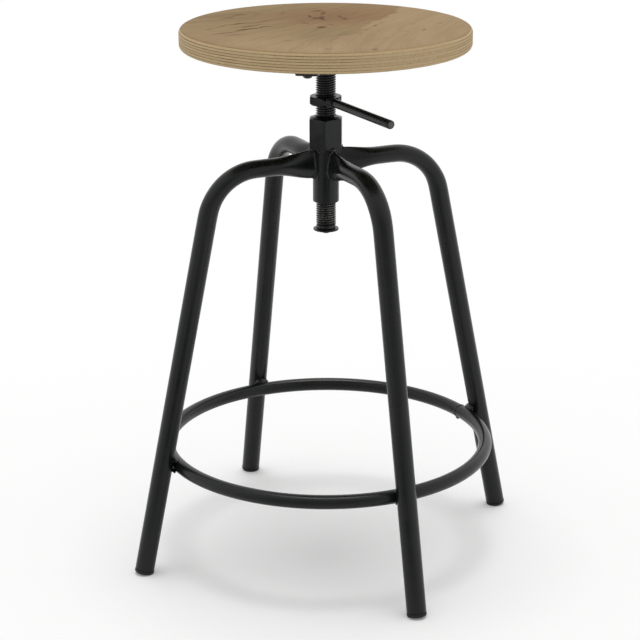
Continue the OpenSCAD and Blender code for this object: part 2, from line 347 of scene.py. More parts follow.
def draw_line(name: str, points: Sequence[Point2]) -> bpy.types.Object:
    """Draws a line of points in the plane through X and Z, one extrusion after the other.

    Args:
        name: Name for the new piece.
        points: Distance from the Z axis and height of each point, in metres.

    Returns:
        The piece, in edit mode with the whole line selected.
    """
    rest_hands()
    bpy.ops.mesh.primitive_plane_add(size=10 * MM, location=(0, 0, 0))
    piece = open_piece(name)
    bpy.ops.mesh.select_mode(type="VERT")
    bpy.ops.mesh.merge(type="CENTER")
    here = points[0]
    bpy.ops.transform.translate(value=(here[0], 0, here[1]))
    for there in points[1:]:
        step = (there[0] - here[0], 0, there[1] - here[1])
        bpy.ops.mesh.extrude_vertices_move(TRANSFORM_OT_translate={"value": step})
        here = there
    bpy.ops.mesh.select_all(action="SELECT")
    return piece


def spin(steps: int, angle: float = FULL_TURN) -> None:
    """Spins what is selected about the Z axis, against the clock as seen from above."""
    bpy.ops.mesh.spin(steps=steps, angle=-angle, center=(0, 0, 0), axis=(0, 0, 1))


def turned(name: str, outline: Sequence[Point2], steps: int = 96) -> bpy.types.Object:
    """A piece as a lathe makes it: an outline spun about the Z axis.

    Args:
        name: Name for the piece.
        outline: Radius and height of each point. It starts and ends on the axis, or is closed.
        steps: Facets in a full turn.

    Returns:
        The finished piece.
    """
    piece = draw_line(name, outline)
    spin(steps)
    return close_piece(piece)


@dataclass(frozen=True)
class Blob:
    """One drop of a weld bead."""

    at: Vector
    radius: float


def weld_bead(name: str, blobs: Sequence[Blob], grain: float) -> bpy.types.Object:
    """A weld bead: drops of metal that have run into each other.

    Args:
        name: Name for the piece.
        blobs: The drops.
        grain: Edge length of the bead's faces, in metres.

    Returns:
        The bead.
    """
    # The drops are added in short runs, because each one slows the next down
    run_length = 20
    runs = []
    for start in range(0, len(blobs), run_length):
        rest_hands()
        run = None
        for blob in blobs[start:start + run_length]:
            bpy.ops.mesh.primitive_uv_sphere_add(
                segments=8, ring_count=6, radius=blob.radius, location=blob.at
            )
            if run is None:
                run = open_piece(f"{name}_run_{start}")
        runs.append(close_piece(run, 180))
    piece = join(runs, name)
    shape_with(piece, "REMESH", mode="VOXEL", voxel_size=grain, adaptivity=0.0)
    shape_with(piece, "SMOOTH", factor=0.5, iterations=2)
    return close_piece(piece, 180)


# Sub-assemblies


@dataclass
class SeatBoard:
    """Round plywood seat: nine plies, both rims rounded, glue lines slightly sunk."""

    radius: float = 185 * MM
    top: float = 702 * MM
    thickness: float = 26 * MM
    rim_radius: float = 6.3 * MM
    rim_steps: int = 8
    veneer: float = 0.9 * MM
    inner_plies: int = 7
    glue_width: float = 0.34 * MM
    glue_depth: float = 0.12 * MM
    facets: int = 192
    # Widths of the rings round the middle fan of each flat face
    face_rings: Point2 = (12 * MM, 60 * MM)

    @property
    def bottom(self) -> float:
        """Height of the underside."""
        return self.top - self.thickness

    @property
    def ply(self) -> float:
        """Thickness of an inner ply."""
        return (self.thickness - 2 * self.veneer) / self.inner_plies

    @property
    def glue_lines(self) -> list[float]:
        """Heights of the glue lines, from the lowest up."""
        return [self.bottom + self.veneer + self.ply * k for k in range(self.inner_plies + 1)]

    def build(self) -> bpy.types.Object:
        """Models the board from a disc.

        Returns:
            The board.
        """
        rest_hands()
        half = self.thickness / 2
        middle = self.top - half
        bpy.ops.mesh.primitive_cylinder_add(
            vertices=self.facets, radius=self.radius, depth=self.thickness, location=(0, 0, middle)
        )
        board = open_piece("seat_plywood")
        beside = self.radius * 0.98
        pick(Pick.EDGES, lambda p: abs(abs(p.z - middle) - half) < NEAR and p.xy.length > beside)
        bpy.ops.mesh.bevel(offset=self.rim_radius, segments=self.rim_steps, profile=0.5)
        for line in self.glue_lines:
            for edge in (line - self.glue_width / 2, line, line + self.glue_width / 2):
                bpy.ops.mesh.select_all(action="SELECT")
                bpy.ops.mesh.bisect(plane_co=(0, 0, edge), plane_no=(0, 0, 1), threshold=ON_CUT)
        sink = 1 - self.glue_depth / self.radius
        for line in self.glue_lines:
            pick(Pick.POINTS, lambda p, z=line: abs(p.z - z) < CLOSE)
            resize((sink, sink, 1), (0, 0, line))
        for side in (self.top, self.bottom):
            pick(Pick.FACES, lambda p, z=side: abs(p.z - z) < CLOSE and p.xy.length < NEAR)
            for width in self.face_rings:
                bpy.ops.mesh.inset(thickness=width)
            bpy.ops.mesh.poke()
        return close_piece(board, 25)


@dataclass
class SeatBracket:
    """Cross of flat bars under the seat with its pan-head screws and the spindle's weld."""

    under: float = 671.5 * MM
    thickness: float = 4.5 * MM
    reach: float = 170 * MM
    middle_d: float = 60 * MM
    width: float = 30 * MM
    turn: float = math.radians(-78)
    arms: int = 4
    edge: float = 0.7 * MM
    screw_inset: float = 12 * MM
    head_d: float = 12 * MM
    head_h: float = 5.1 * MM
    recess_w: float = 1.1 * MM
    recess_h: float = 2.6 * MM
    # How far round the first arm's screw head was left, and how much further each next one
    head_turn: float = math.radians(17)
    head_step: float = math.radians(31)
    bead: float = 5 * MM
    bead_drops: int = 36
    # Least and greatest radius of a drop, as shares of the bead
    drop_range: Point2 = (0.44, 0.56)
    spindle_d: float = 26 * MM

    def build_cross(self) -> bpy.types.Object:
        """Models the cross from a disc whose sides are drawn out into arms.

        Returns:
            The cross.
        """
        rest_hands()
        level = self.under + self.thickness / 2
        disc_r, half, end = self.middle_d / 2, self.width / 2, self.reach
        bpy.ops.mesh.primitive_cylinder_add(
            vertices=48, radius=disc_r, depth=self.thickness, location=(0, 0, level)
        )
        cross = open_piece("seat_bracket_bars")
        for k in range(self.arms):
            axis = around(1, k * FULL_TURN / self.arms, 0)
            across = Vector((-axis.y, axis.x, 0))

            def on_side(p: Vector, axis: Vector = axis, across: Vector = across) -> bool:
                """Says if a face of the disc's rim looks along the arm."""
                beside = abs(p.dot(across)) < half * 0.96
                return p.dot(axis) > disc_r * 0.8 and beside and abs(p.z - level) < NEAR

            pick(Pick.FACES, on_side)
            extrude(axis * (end - disc_r))
            tip = axis * end + Vector((0, 0, level))
            # The end is flattened, then spread to the bar's width
            resize((1 - abs(axis.x), 1 - abs(axis.y), 1), tip)
            spread = half / reach_of_selection(across)
            resize([spread if abs(part) > 0.5 else 1 for part in across], tip)

        def at_corner(p: Vector) -> bool:
            """Says if an edge is an upright one at an arm's corner."""
            along = max(abs(p.x), abs(p.y))
            beside = min(abs(p.x), abs(p.y))
            return abs(along - end) < NEAR and abs(beside - half) < NEAR and abs(p.z - level) < NEAR

        pick(Pick.EDGES, at_corner)
        bpy.ops.mesh.bevel(offset=half * 0.98, segments=10, profile=0.5)
        close_piece(cross, 30)
        shape_with(
            cross, "BEVEL", width=self.edge, segments=3, limit_method="ANGLE",
            angle_limit=math.radians(50),
        )
        return place(close_piece(cross, 40), about_z(self.turn))

    def build_screws(self) -> bpy.types.Object:
        """Models one pan-head screw with its cross recess and copies it to every arm.

        Returns:
            The screws as one piece.
        """
        r, h = self.head_d / 2, self.head_h
        low = self.under - h
        dome = arc((0, self.under + r * 0.75), h + r * 0.75, -90, -58, 6)
        outline = [(x, z) for x, z in dome if x < r * 0.86]
        outline += [(r, self.under - h * 0.42), (r, self.under), (r * 0.4, self.under), (0, self.under)]
        screw = turned("bracket_screw_heads", outline, 40)
        for angle in (0, math.pi / 2):
            bpy.ops.mesh.primitive_cube_add(
                size=1, location=(0, 0, low), scale=(r * 1.05, self.recess_w, self.recess_h)
            )
            slot = open_piece("recess")
            # The recess narrows towards its floor
            pick(Pick.FACES, lambda p: p.z > low + 1 * MM)
            resize((0.35, 0.7, 1), (0, 0, low))
            close_piece(slot)
            carve(screw, place(slot, about_z(angle)), "DIFFERENCE")
        close_piece(screw)
        screws = []
        for k in range(self.arms):
            spot = Matrix.Translation((self.reach - self.screw_inset, 0, 0))
            twist = about_z(self.head_turn + self.head_step * k)
            where = about_z(self.turn + k * FULL_TURN / self.arms) @ spot @ twist
            screws.append(copy_of(screw, f"bracket_screw_{k}", where))
        discard(screw)
        return join(screws, "bracket_screw_heads")

    def build_weld(self, dice: random.Random) -> bpy.types.Object:
        """Models the bead between bracket and spindle.

        Args:
            dice: Source of the drops' small differences.

        Returns:
            The bead.
        """
        ring = self.spindle_d / 2 + self.bead * 0.34
        blobs = []
        for k in range(self.bead_drops):
            at = around(ring, k * FULL_TURN / self.bead_drops, self.under - self.bead * 0.2)
            blobs.append(Blob(at, self.bead * dice.uniform(*self.drop_range)))
        return weld_bead("bracket_weld_bead", blobs, 0.6 * MM)


@dataclass
class Spindle:
    """Threaded spindle with a plain end below."""

    bottom: float = 439 * MM
    top: float = 676 * MM
    outer_d: float = 26 * MM
    root_d: float = 22.3 * MM
    pitch: float = 3 * MM
    # A tooth's crest, each of its flanks and its soft edges, as shares of the pitch
    crest_share: float = 0.12
    flank_share: float = 0.27
    soft_share: float = 0.03
    plain_d: float = 25 * MM
    plain_len: float = 5 * MM
    plain_edge: float = 0.6 * MM
    facets: int = 64

    def build(self) -> bpy.types.Object:
        """Models the thread by screwing the outline of one turn up the spindle.

        Returns:
            The spindle.
        """
        crest = self.crest_share * self.pitch
        flank = self.flank_share * self.pitch
        soft = self.soft_share * self.pitch
        outer, root = self.outer_d / 2, self.root_d / 2
        # The flanks are rounded off near the root and near the crest
        ease_r, ease_z = 0.12 * (outer - root), 0.35 * flank
        z0, z1 = self.bottom, self.bottom + self.plain_len
        start = z1 - 2 * self.pitch
        one_turn = [
            (root, start),
            (root + ease_r, start + ease_z),
            (outer - ease_r, start + flank),
            (outer, start + flank + soft),
            (outer, start + flank + crest - soft),
            (outer - ease_r, start + flank + crest),
            (root + ease_r, start + 2 * flank + crest - ease_z),
            (root, start + 2 * flank + crest),
            (root, start + self.pitch),
        ]
        rod = draw_line("spindle_thread", one_turn)
        turns = math.ceil((self.top - start) / self.pitch) + 2
        shape_with(
            rod, "SCREW", axis="Z", angle=FULL_TURN, screw_offset=self.pitch, iterations=turns,
            steps=self.facets, render_steps=self.facets, use_merge_vertices=True, merge_threshold=1e-6,
        )
        close_piece(rod, 32, merge=2e-6)
        cut_level(rod, z1, keep_above=True)
        cut_level(rod, self.top, keep_above=False)
        close_piece(rod, 32)
        r, edge = self.plain_d / 2, self.plain_edge
        outline = [(0, z0)] + arc((r - edge, z0 + edge), edge, -90, 0)
        outline += arc((r - edge, z1 - edge), edge, 0, 90) + [(0, z1)]
        return join([rod, turned("spindle_collar", outline, self.facets)], "spindle_thread")


@dataclass
class StopWasher:
    """Washer that keeps the spindle in the tube, and its button-head screw."""

    top: float = 439 * MM
    washer_d: float = 33 * MM
    washer_t: float = 2.5 * MM
    washer_edge: float = 0.8 * MM
    hole_d: float = 8.4 * MM
    head_d: float = 14 * MM
    head_h: float = 4.4 * MM
    head_edge: float = 0.6 * MM
    key_across: float = 5 * MM

    @property
    def under(self) -> float:
        """Height of the washer's underside."""
        return self.top - self.washer_t

    def build_washer(self) -> bpy.types.Object:
        """Models the washer with its pressed, rounded rim.

        Returns:
            The washer.
        """
        r, hole, edge = self.washer_d / 2, self.hole_d / 2, self.washer_edge
        outline = [(hole, self.under)] + arc((r - edge, self.under + edge), edge, -90, 0)
        outline += arc((r - edge, self.top - edge), edge, 0, 90) + [(hole, self.top), (hole, self.under)]
        return turned("stop_washer_disc", outline)

    def build_screw(self) -> bpy.types.Object:
        """Models the button head with its hexagonal socket.

        Returns:
            The screw's head.
        """
        r, z1 = self.head_d / 2, self.under
        z0 = z1 - self.head_h
        outline = [(0, z0), (r * 0.5, z0)]
        outline += arc((r * 0.5, z1 - self.head_edge), r * 0.5, -82, 0, 8) + [(r, z1), (0, z1)]
        screw = turned("stop_screw_head", outline, 64)
        bpy.ops.mesh.primitive_cylinder_add(
            vertices=6, radius=self.key_across / math.sqrt(3), depth=self.head_h * 1.2,
            location=(0, 0, z0),
        )
        key = open_piece("key")
        pick(Pick.FACES, lambda p: p.z > z0 + 1 * MM)
        bpy.ops.mesh.inset(thickness=0.3 * MM)
        close_piece(key)
        carve(screw, key, "DIFFERENCE")
        return close_piece(screw)


@dataclass
class HexNut:
    """Hexagonal nut with the cone-turned corners and the countersunk bore of a real one."""

    name: str
    across: float
    bottom: float
    height: float
    turn: float
    slope_bottom: bool = True
    slope: float = 3.4 * MM
    slope_tilt: float = math.radians(42)
    bore_d: float = 26.1 * MM
    sink: float = 0.9 * MM
    # The rounding of the hexagonal bar's corners, and of the edges that turning leaves
    edge: float = 0.35 * MM
    soft_edge: float = 0.22 * MM
    # How far the turning tools reach past the nut
    spare: float = 1 * MM

    def build(self) -> bpy.types.Object:
        """Models the nut: a hexagonal bar, turned at its ends and bored.

        Returns:
            The nut.
        """
        corner_r = self.across / math.sqrt(3)
        face_r = corner_r - self.slope
        wide = corner_r + self.spare
        rise = (wide - face_r) * math.tan(self.slope_tilt)
        low, high = self.bottom, self.bottom + self.height
        middle = (low + high) / 2
        rest_hands()
        bpy.ops.mesh.primitive_cylinder_add(
            vertices=6, radius=corner_r, depth=self.height, location=(0, 0, middle),
            rotation=(0, 0, math.radians(30)),
        )
        nut = open_piece(self.name)
        pick(Pick.EDGES, lambda p: abs(p.z - middle) < NEAR)
        bpy.ops.mesh.bevel(offset=self.edge, segments=3, profile=0.5)
        close_piece(nut)
        outline = [(0, low)]
        outline += [(face_r, low), (wide, low + rise)] if self.slope_bottom else [(wide, low)]
        outline += [(wide, high - rise), (face_r, high), (0, high)]
        carve(nut, turned("cone", outline, 128), "INTERSECT")
        r, sink, spare = self.bore_d / 2, self.sink, self.spare
        bore = [(0, low - spare), (r + sink + spare, low - spare), (r, low + sink)]
        bore += [(r, high - sink), (r + sink + spare, high + spare), (0, high + spare)]
        carve(nut, turned("bore", bore), "DIFFERENCE")
        close_piece(nut, 20, merge=2e-5)
        shape_with(
            nut, "BEVEL", width=self.soft_edge, segments=2, limit_method="ANGLE",
            angle_limit=math.radians(25), use_clamp_overlap=True,
        )
        return place(close_piece(nut, 30), about_z(self.turn))


@dataclass
class LockLever:
    """Round bar welded to a flat of the lock nut."""

    level: float = 607.6 * MM
    start: float = 20 * MM
    reach: float = 166 * MM
    bar_d: float = 11 * MM
    tip_r: float = 1.6 * MM
    turn: float = math.radians(-42)
    bead: float = 4.4 * MM
    bead_drops: int = 40
    # Rows of drops, in bead sizes: how far out from the bar, how far along it, and their radius
    bead_rows: tuple[Point3, ...] = (
        (0.8, 0.0, 0.34), (0.45, 0.2, 0.42), (0.15, 0.5, 0.4), (0.0, 0.85, 0.26),
    )
    # How much the drops differ in size
    drop_range: Point2 = (0.94, 1.06)
    # How far above and below the bar's middle the nut's flat carries the bead
    flat_half: float = 5 * MM

    @property
    def tip(self) -> Vector:
        """Middle of the bar's outer end."""
        return self._onto_flat() @ Vector((0, 0, self.reach))

    def _onto_flat(self) -> Matrix:
        """How a piece drawn along Z is laid along the lever."""
        lying = Matrix.Rotation(math.pi / 2, 4, "Y")
        return Matrix.Translation((0, 0, self.level)) @ about_z(self.turn) @ lying

    def build_bar(self) -> bpy.types.Object:
        """Models the bar along Z, then lays it down.

        Returns:
            The bar.
        """
        r = self.bar_d / 2
        grip = self.reach - self.tip_r
        outline = [(0, self.start), (r, self.start)]
        outline += [(r, blend_of(self.start, grip, share)) for share in (0.25, 0.5, 0.75)]
        outline += arc((r - self.tip_r, grip), self.tip_r, 0, 90, 6)
        outline += [(r * 0.4, self.reach), (0, self.reach)]
        return place(turned("lock_lever_bar", outline, 48), self._onto_flat())

    def build_weld(self, dice: random.Random) -> bpy.types.Object:
        """Models the bead round the bar's foot, left out where the nut's flat ends.

        Args:
            dice: Source of the drops' small differences.

        Returns:
            The bead.
        """
        ring = self.bar_d / 2 + self.bead * 0.1
        blobs = []
        for k in range(self.bead_drops):
            a = k * FULL_TURN / self.bead_drops
            for out, along, size in self.bead_rows:
                spread = 1 + self.bead * out / ring
                up, across = ring * math.cos(a) * spread, ring * math.sin(a) * spread
                if abs(up) > self.flat_half:
                    continue
                at = Vector((up, across, self.start + self.bead * along))
                blobs.append(Blob(at, self.bead * size * dice.uniform(*self.drop_range)))
        return place(weld_bead("lever_weld_bead", blobs, 0.5 * MM), self._onto_flat())


@dataclass
class Hub:
    """Central tube, and the beads between it and the long nut on it."""

    bottom: float = 475 * MM
    top: float = 544.5 * MM
    outer_d: float = 33.7 * MM
    wall: float = 3.2 * MM
    edge: float = 0.9 * MM
    bead: float = 3 * MM
    # Each bead's drops lie this far apart, and this many to either side of its middle
    bead_step: float = math.radians(3.1)
    bead_half: int = 6
    # How far a drop stands out from the tube, and its radius, as shares of the bead
    out_range: Point2 = (0.16, 0.3)
    drop_range: Point2 = (0.42, 0.58)

    def build_tube(self) -> bpy.types.Object:
        """Models the tube with its deburred lower end.

        Returns:
            The tube.
        """
        r, edge = self.outer_d / 2, self.edge
        inner = r - self.wall
        outline = [(inner, self.top), (inner, self.bottom + edge), (inner + edge * 0.7, self.bottom)]
        outline += arc((r - edge, self.bottom + edge), edge, -90, 0, 4)
        outline += [(r, blend_of(self.bottom, self.top, 0.5)), (r, self.top), (inner, self.top)]
        return turned("central_tube", outline)

    def build_nut_welds(self, dice: random.Random) -> bpy.types.Object:
        """Models the four short beads under the long nut, between the arms.

        Args:
            dice: Source of the drops' small differences.

        Returns:
            The beads as one piece.
        """
        blobs = []
        for corner in Corner:
            for k in range(-self.bead_half, self.bead_half + 1):
                ring = self.outer_d / 2 + self.bead * dice.uniform(*self.out_range)
                a = corner.turn + math.pi / 4 + k * self.bead_step
                at = around(ring, a, self.top - self.bead * 0.35)
                blobs.append(Blob(at, self.bead * dice.uniform(*self.drop_range)))
        return weld_bead("nut_weld_beads", blobs, 0.5 * MM)


@dataclass
class Leg:
    """Bent tube leg: round at the foot, flattened a little by its bend and pressed tall at the hub."""

    tube_d: float = 25 * MM
    foot_reach: float = 265.5 * MM
    splay: float = math.radians(12)
    arm_z: float = 527.5 * MM
    bend_r: float = 68 * MM
    hub_r: float = 16.85 * MM
    # Radius at which the arm ends, inside the central tube's wall
    end_r: float = 14.8 * MM
    press_h: float = 37.4 * MM
    press_w: float = 9 * MM
    press_len: float = 56 * MM
    # How far the pressed end's middle lies below the arm's
    press_drop: float = 1.9 * MM
    bend_tall: float = 22.8 * MM
    bend_wide: float = 26.4 * MM
    tube_end: float = 5.63 * MM
    foot_edge: float = 0.5 * MM
    # How much the ridge narrows the pressed end towards its top, and the width left of its very top
    ridge: float = 0.46
    fold: float = 0.9
    sides: int = 24
    # The straight part is divided evenly between these distances from its ends
    straight_steps: int = 7
    low_ring: float = 30 * MM
    high_ring: float = 16 * MM
    bend_steps: int = 12
    press_steps: int = 10
    bead_drops: int = 44
    # Rows of drops round the pressed end, in mm: how far beside it, how far out, and their radius
    bead_rows_mm: tuple[Point3, ...] = ((0.5, -0.1, 1.5), (-0.1, 1.1, 1.4))
    # How much the drops differ: round the end in radians, outward in mm, and in size
    round_range: Point2 = (-0.03, 0.03)
    out_range_mm: Point2 = (-0.15, 0.2)
    drop_range: Point2 = (0.92, 1.12)
    # Spatter on top of the arm and against the long nut: how many drops, and in mm the ranges of
    # their distance from the tube, to the side and above the arm, and of their radius
    spatter_mm: tuple[tuple[int, Point2, Point2, Point2, Point2], ...] = (
        (8, (2, 8), (-1.6, 1.6), (-0.2, -2), (1.3, 2.1)),
        (9, (3.2, 5), (-3.4, 3.4), (0.3, 3), (1.5, 2.2)),
    )

    @property
    def cage(self) -> float:
        """How much larger the cage of a subdivided tube is than the tube."""
        return 6 / (4 + 2 * math.cos(FULL_TURN / self.sides))

    @property
    def bend_z(self) -> float:
        """Height of the bend's centre."""
        return self.arm_z - self.bend_r

    @property
    def bend_x(self) -> float:
        """Distance of the bend's centre from the spindle."""
        lean = math.sin(self.splay)
        return self.foot_reach - (self.bend_r + self.bend_z * lean) / math.cos(self.splay)

    @property
    def straight(self) -> float:
        """Length from the floor to where the bend starts, along the leg."""
        return (self.bend_z + self.bend_r * math.sin(self.splay)) / math.cos(self.splay)

    @property
    def press_start(self) -> float:
        """Radius at which the round arm starts to change."""
        return self.hub_r + self.press_len

    def press_share(self, radius: float) -> float:
        """How far the pressed shape has come at a radius, from 0 to 1."""
        return ease((self.press_start - radius) / self.press_len)

    def half_sizes(self, radius: float) -> Point2:
        """Half of the arm's height and half of its width.

        Args:
            radius: Distance from the spindle.

        Returns:
            Both halves there.
        """
        share = self.press_share(radius)
        tall = blend_of(self.bend_tall, self.press_h, share) / 2
        wide = blend_of(self.bend_wide, self.press_w, share) / 2
        return tall, wide

    def pinch(self, radius: float, up: float) -> float:
        """How much the ridge narrows the arm.

        Args:
            radius: Distance from the spindle.
            up: Height within the section, from -1 at its bottom to 1 at its top.

        Returns:
            The factor on the width there.
        """
        if up > 0.95:
            return 1 - (1 - self.fold) * self.press_share(radius)
        return 1 - self.ridge * self.press_share(radius) * up

    def point_at(self, along: float) -> Vector:
        """A point of the straight part's middle line, at a distance along it from the floor."""
        return Vector((self.foot_reach - along * math.sin(self.splay), 0, along * math.cos(self.splay)))

    def build(self, name: str) -> bpy.types.Object:
        """Models the leg in the plane through X and Z, from the foot up to the hub.

        Args:
            name: Name for the piece.

        Returns:
            The leg, not yet turned to its corner.
        """
        rest_hands()
        bpy.ops.mesh.primitive_circle_add(
            vertices=self.sides, radius=self.tube_d / 2 * self.cage, fill_type="NGON",
            location=self.point_at(self.tube_end), rotation=(0, -self.splay, 0),
        )
        leg = open_piece(name)
        self._draw_straight()
        self._draw_bend()
        self._draw_press()
        bpy.ops.mesh.edge_face_add()
        shape_with(leg, "SUBSURF", levels=2, render_levels=2, quality=4)
        return close_piece(leg, 50)

    def _draw_straight(self) -> None:
        """Extrudes the straight part, with close rings at its rounded end."""
        inward = 1 - 2 * self.foot_edge / self.tube_d
        resize((inward, inward, inward), self.point_at(self.tube_end))
        full = self.tube_end + self.foot_edge
        low, high = self.low_ring, self.straight - self.high_ring
        stops = [self.tube_end, full, self.tube_end + 2.5 * MM, low]
        stops += [blend_of(low, high, k / self.straight_steps) for k in range(1, self.straight_steps + 1)]
        stops += [self.straight]
        for here, there in zip(stops, stops[1:]):
            extrude(self.point_at(there) - self.point_at(here))
            if there == full:
                resize((1 / inward, 1 / inward, 1 / inward), self.point_at(there))

    def _draw_bend(self) -> None:
        """Turns the tube round its bend and flattens it as a bending die does."""
        centre = Vector((self.bend_x, 0, self.bend_z))
        total = math.pi / 2 - self.splay
        before = [self.tube_d, self.tube_d]
        for k in range(1, self.bend_steps + 1):
            extrude((0, 0, 0))
            turn(-total / self.bend_steps, "Y", centre)
            lean = self.splay + total * k / self.bend_steps
            share = ease(3 * k / self.bend_steps)
            sizes = (self.bend_tall, self.bend_wide)
            now = [blend_of(self.tube_d, size, share) for size in sizes]
            outward = Vector((math.cos(lean), 0, math.sin(lean)))
            axes = Matrix.Rotation(-lean, 3, "Y")
            resize((now[0] / before[0], now[1] / before[1], 1), centre + outward * self.bend_r, axes)
            before = now

    def _draw_press(self) -> None:
        """Draws the arm on to the hub and presses it narrow and tall, with a ridge on top."""
        here = self.bend_x
        steps = range(1, self.press_steps + 1)
        stops = [blend_of(self.bend_x, self.press_start, 0.5), self.press_start]
        stops += [self.press_start - self.press_len * k / self.press_steps for k in steps]
        stops += [self.end_r]
        drop = 0.0
        for there in stops:
            share = self.press_share(there)
            extrude((there - here, 0, drop - self.press_drop * share))
            drop = self.press_drop * share
            middle = Vector((there, 0, self.arm_z - drop))
            tall, wide = self.half_sizes(there)
            old_tall, old_wide = self.half_sizes(here)
            resize((1, wide / old_wide, tall / old_tall), middle)
            self._pinch_ring(here, there, middle, tall)
            here = there

    def _pinch_ring(self, before: float, now: float, middle: Vector, tall: float) -> None:
        """Narrows the newest ring towards its top, one pair of points after the other.

        Args:
            before: Radius at which the ring before it stands.
            now: Radius at which the ring stands.
            middle: The ring's middle.
            tall: Half of its height.
        """
        if self.press_share(now) == self.press_share(before):
            return
        for k in range(1, self.sides // 2):
            up = math.cos(FULL_TURN * k / self.sides)
            level = middle.z + tall * self.cage * up
            pick(Pick.POINTS, lambda p, z=level: abs(p.x - middle.x) < CLOSE and abs(p.z - z) < 2 * CLOSE)
            factor = self.pinch(now, up) / self.pinch(before, up)
            resize((1, factor, 1), (middle.x, 0, level))
        pick(Pick.EDGES, lambda p: abs(p.x - middle.x) < CLOSE)

    def weld_blobs(self, dice: random.Random, corner: Corner) -> list[Blob]:
        """The drops of the bead round one pressed end, and the spatter above it.

        Args:
            dice: Source of the drops' small differences.
            corner: The arm's corner.

        Returns:
            The drops, in place.
        """
        tall, wide = self.half_sizes(self.hub_r)
        middle = self.arm_z - self.press_drop
        drops = []
        for k in range(self.bead_drops):
            a = FULL_TURN * k / self.bead_drops + dice.uniform(*self.round_range)
            pinch = self.pinch(self.hub_r, min(math.cos(a), 0.9))
            for beside, out, size in self.bead_rows_mm:
                y = (wide * pinch + beside * MM) * math.sin(a)
                z = middle + (tall - 0.1 * MM) * math.cos(a)
                out += dice.uniform(*self.out_range_mm)
                x = math.sqrt(self.hub_r**2 - y * y) + out * MM
                drops.append((Vector((x, y, z)), size * dice.uniform(*self.drop_range) * MM))
        for count, *ranges in self.spatter_mm:
            for _ in range(count):
                out, beside, above, size = [dice.uniform(*pair) * MM for pair in ranges]
                drops.append((Vector((self.hub_r + out, beside, middle + tall + above)), size))
        return [Blob(about_z(corner.turn) @ at, size) for at, size in drops]


@dataclass
class FootCap:
    """Moulded cap on a leg's end, worn level with the floor."""

    leg: Leg
    head_h: float = 5 * MM
    rim_r: float = 2.6 * MM
    edge: float = 0.3 * MM
    # How far the cap stands out past the tube, and how wide its flat upper rim is
    lip: float = 0.15 * MM
    rim_w: float = 1.6 * MM

    def build(self, name: str) -> bpy.types.Object:
        """Models the cap upright, leans it with the leg and cuts its sole level.

        Args:
            name: Name for the piece.

        Returns:
            The cap, not yet turned to its corner.
        """
        r, edge = self.leg.tube_d / 2 + self.lip, self.edge
        outline = [(0, 0), (r * 0.5, 0)] + arc((r - self.rim_r, self.rim_r), self.rim_r, -90, 0, 8)
        outline += arc((r - edge, self.head_h - edge), edge, 0, 90, 3)
        outline += [(r - self.rim_w, self.head_h), (0, self.head_h)]
        cap = turned(name, outline, 64)
        lean = Matrix.Rotation(-self.leg.splay, 4, "Y")
        place(cap, Matrix.Translation(self.leg.point_at(self.leg.tube_end - self.head_h)) @ lean)
        cut_level(cap, 0.0, keep_above=True)
        return close_piece(cap)


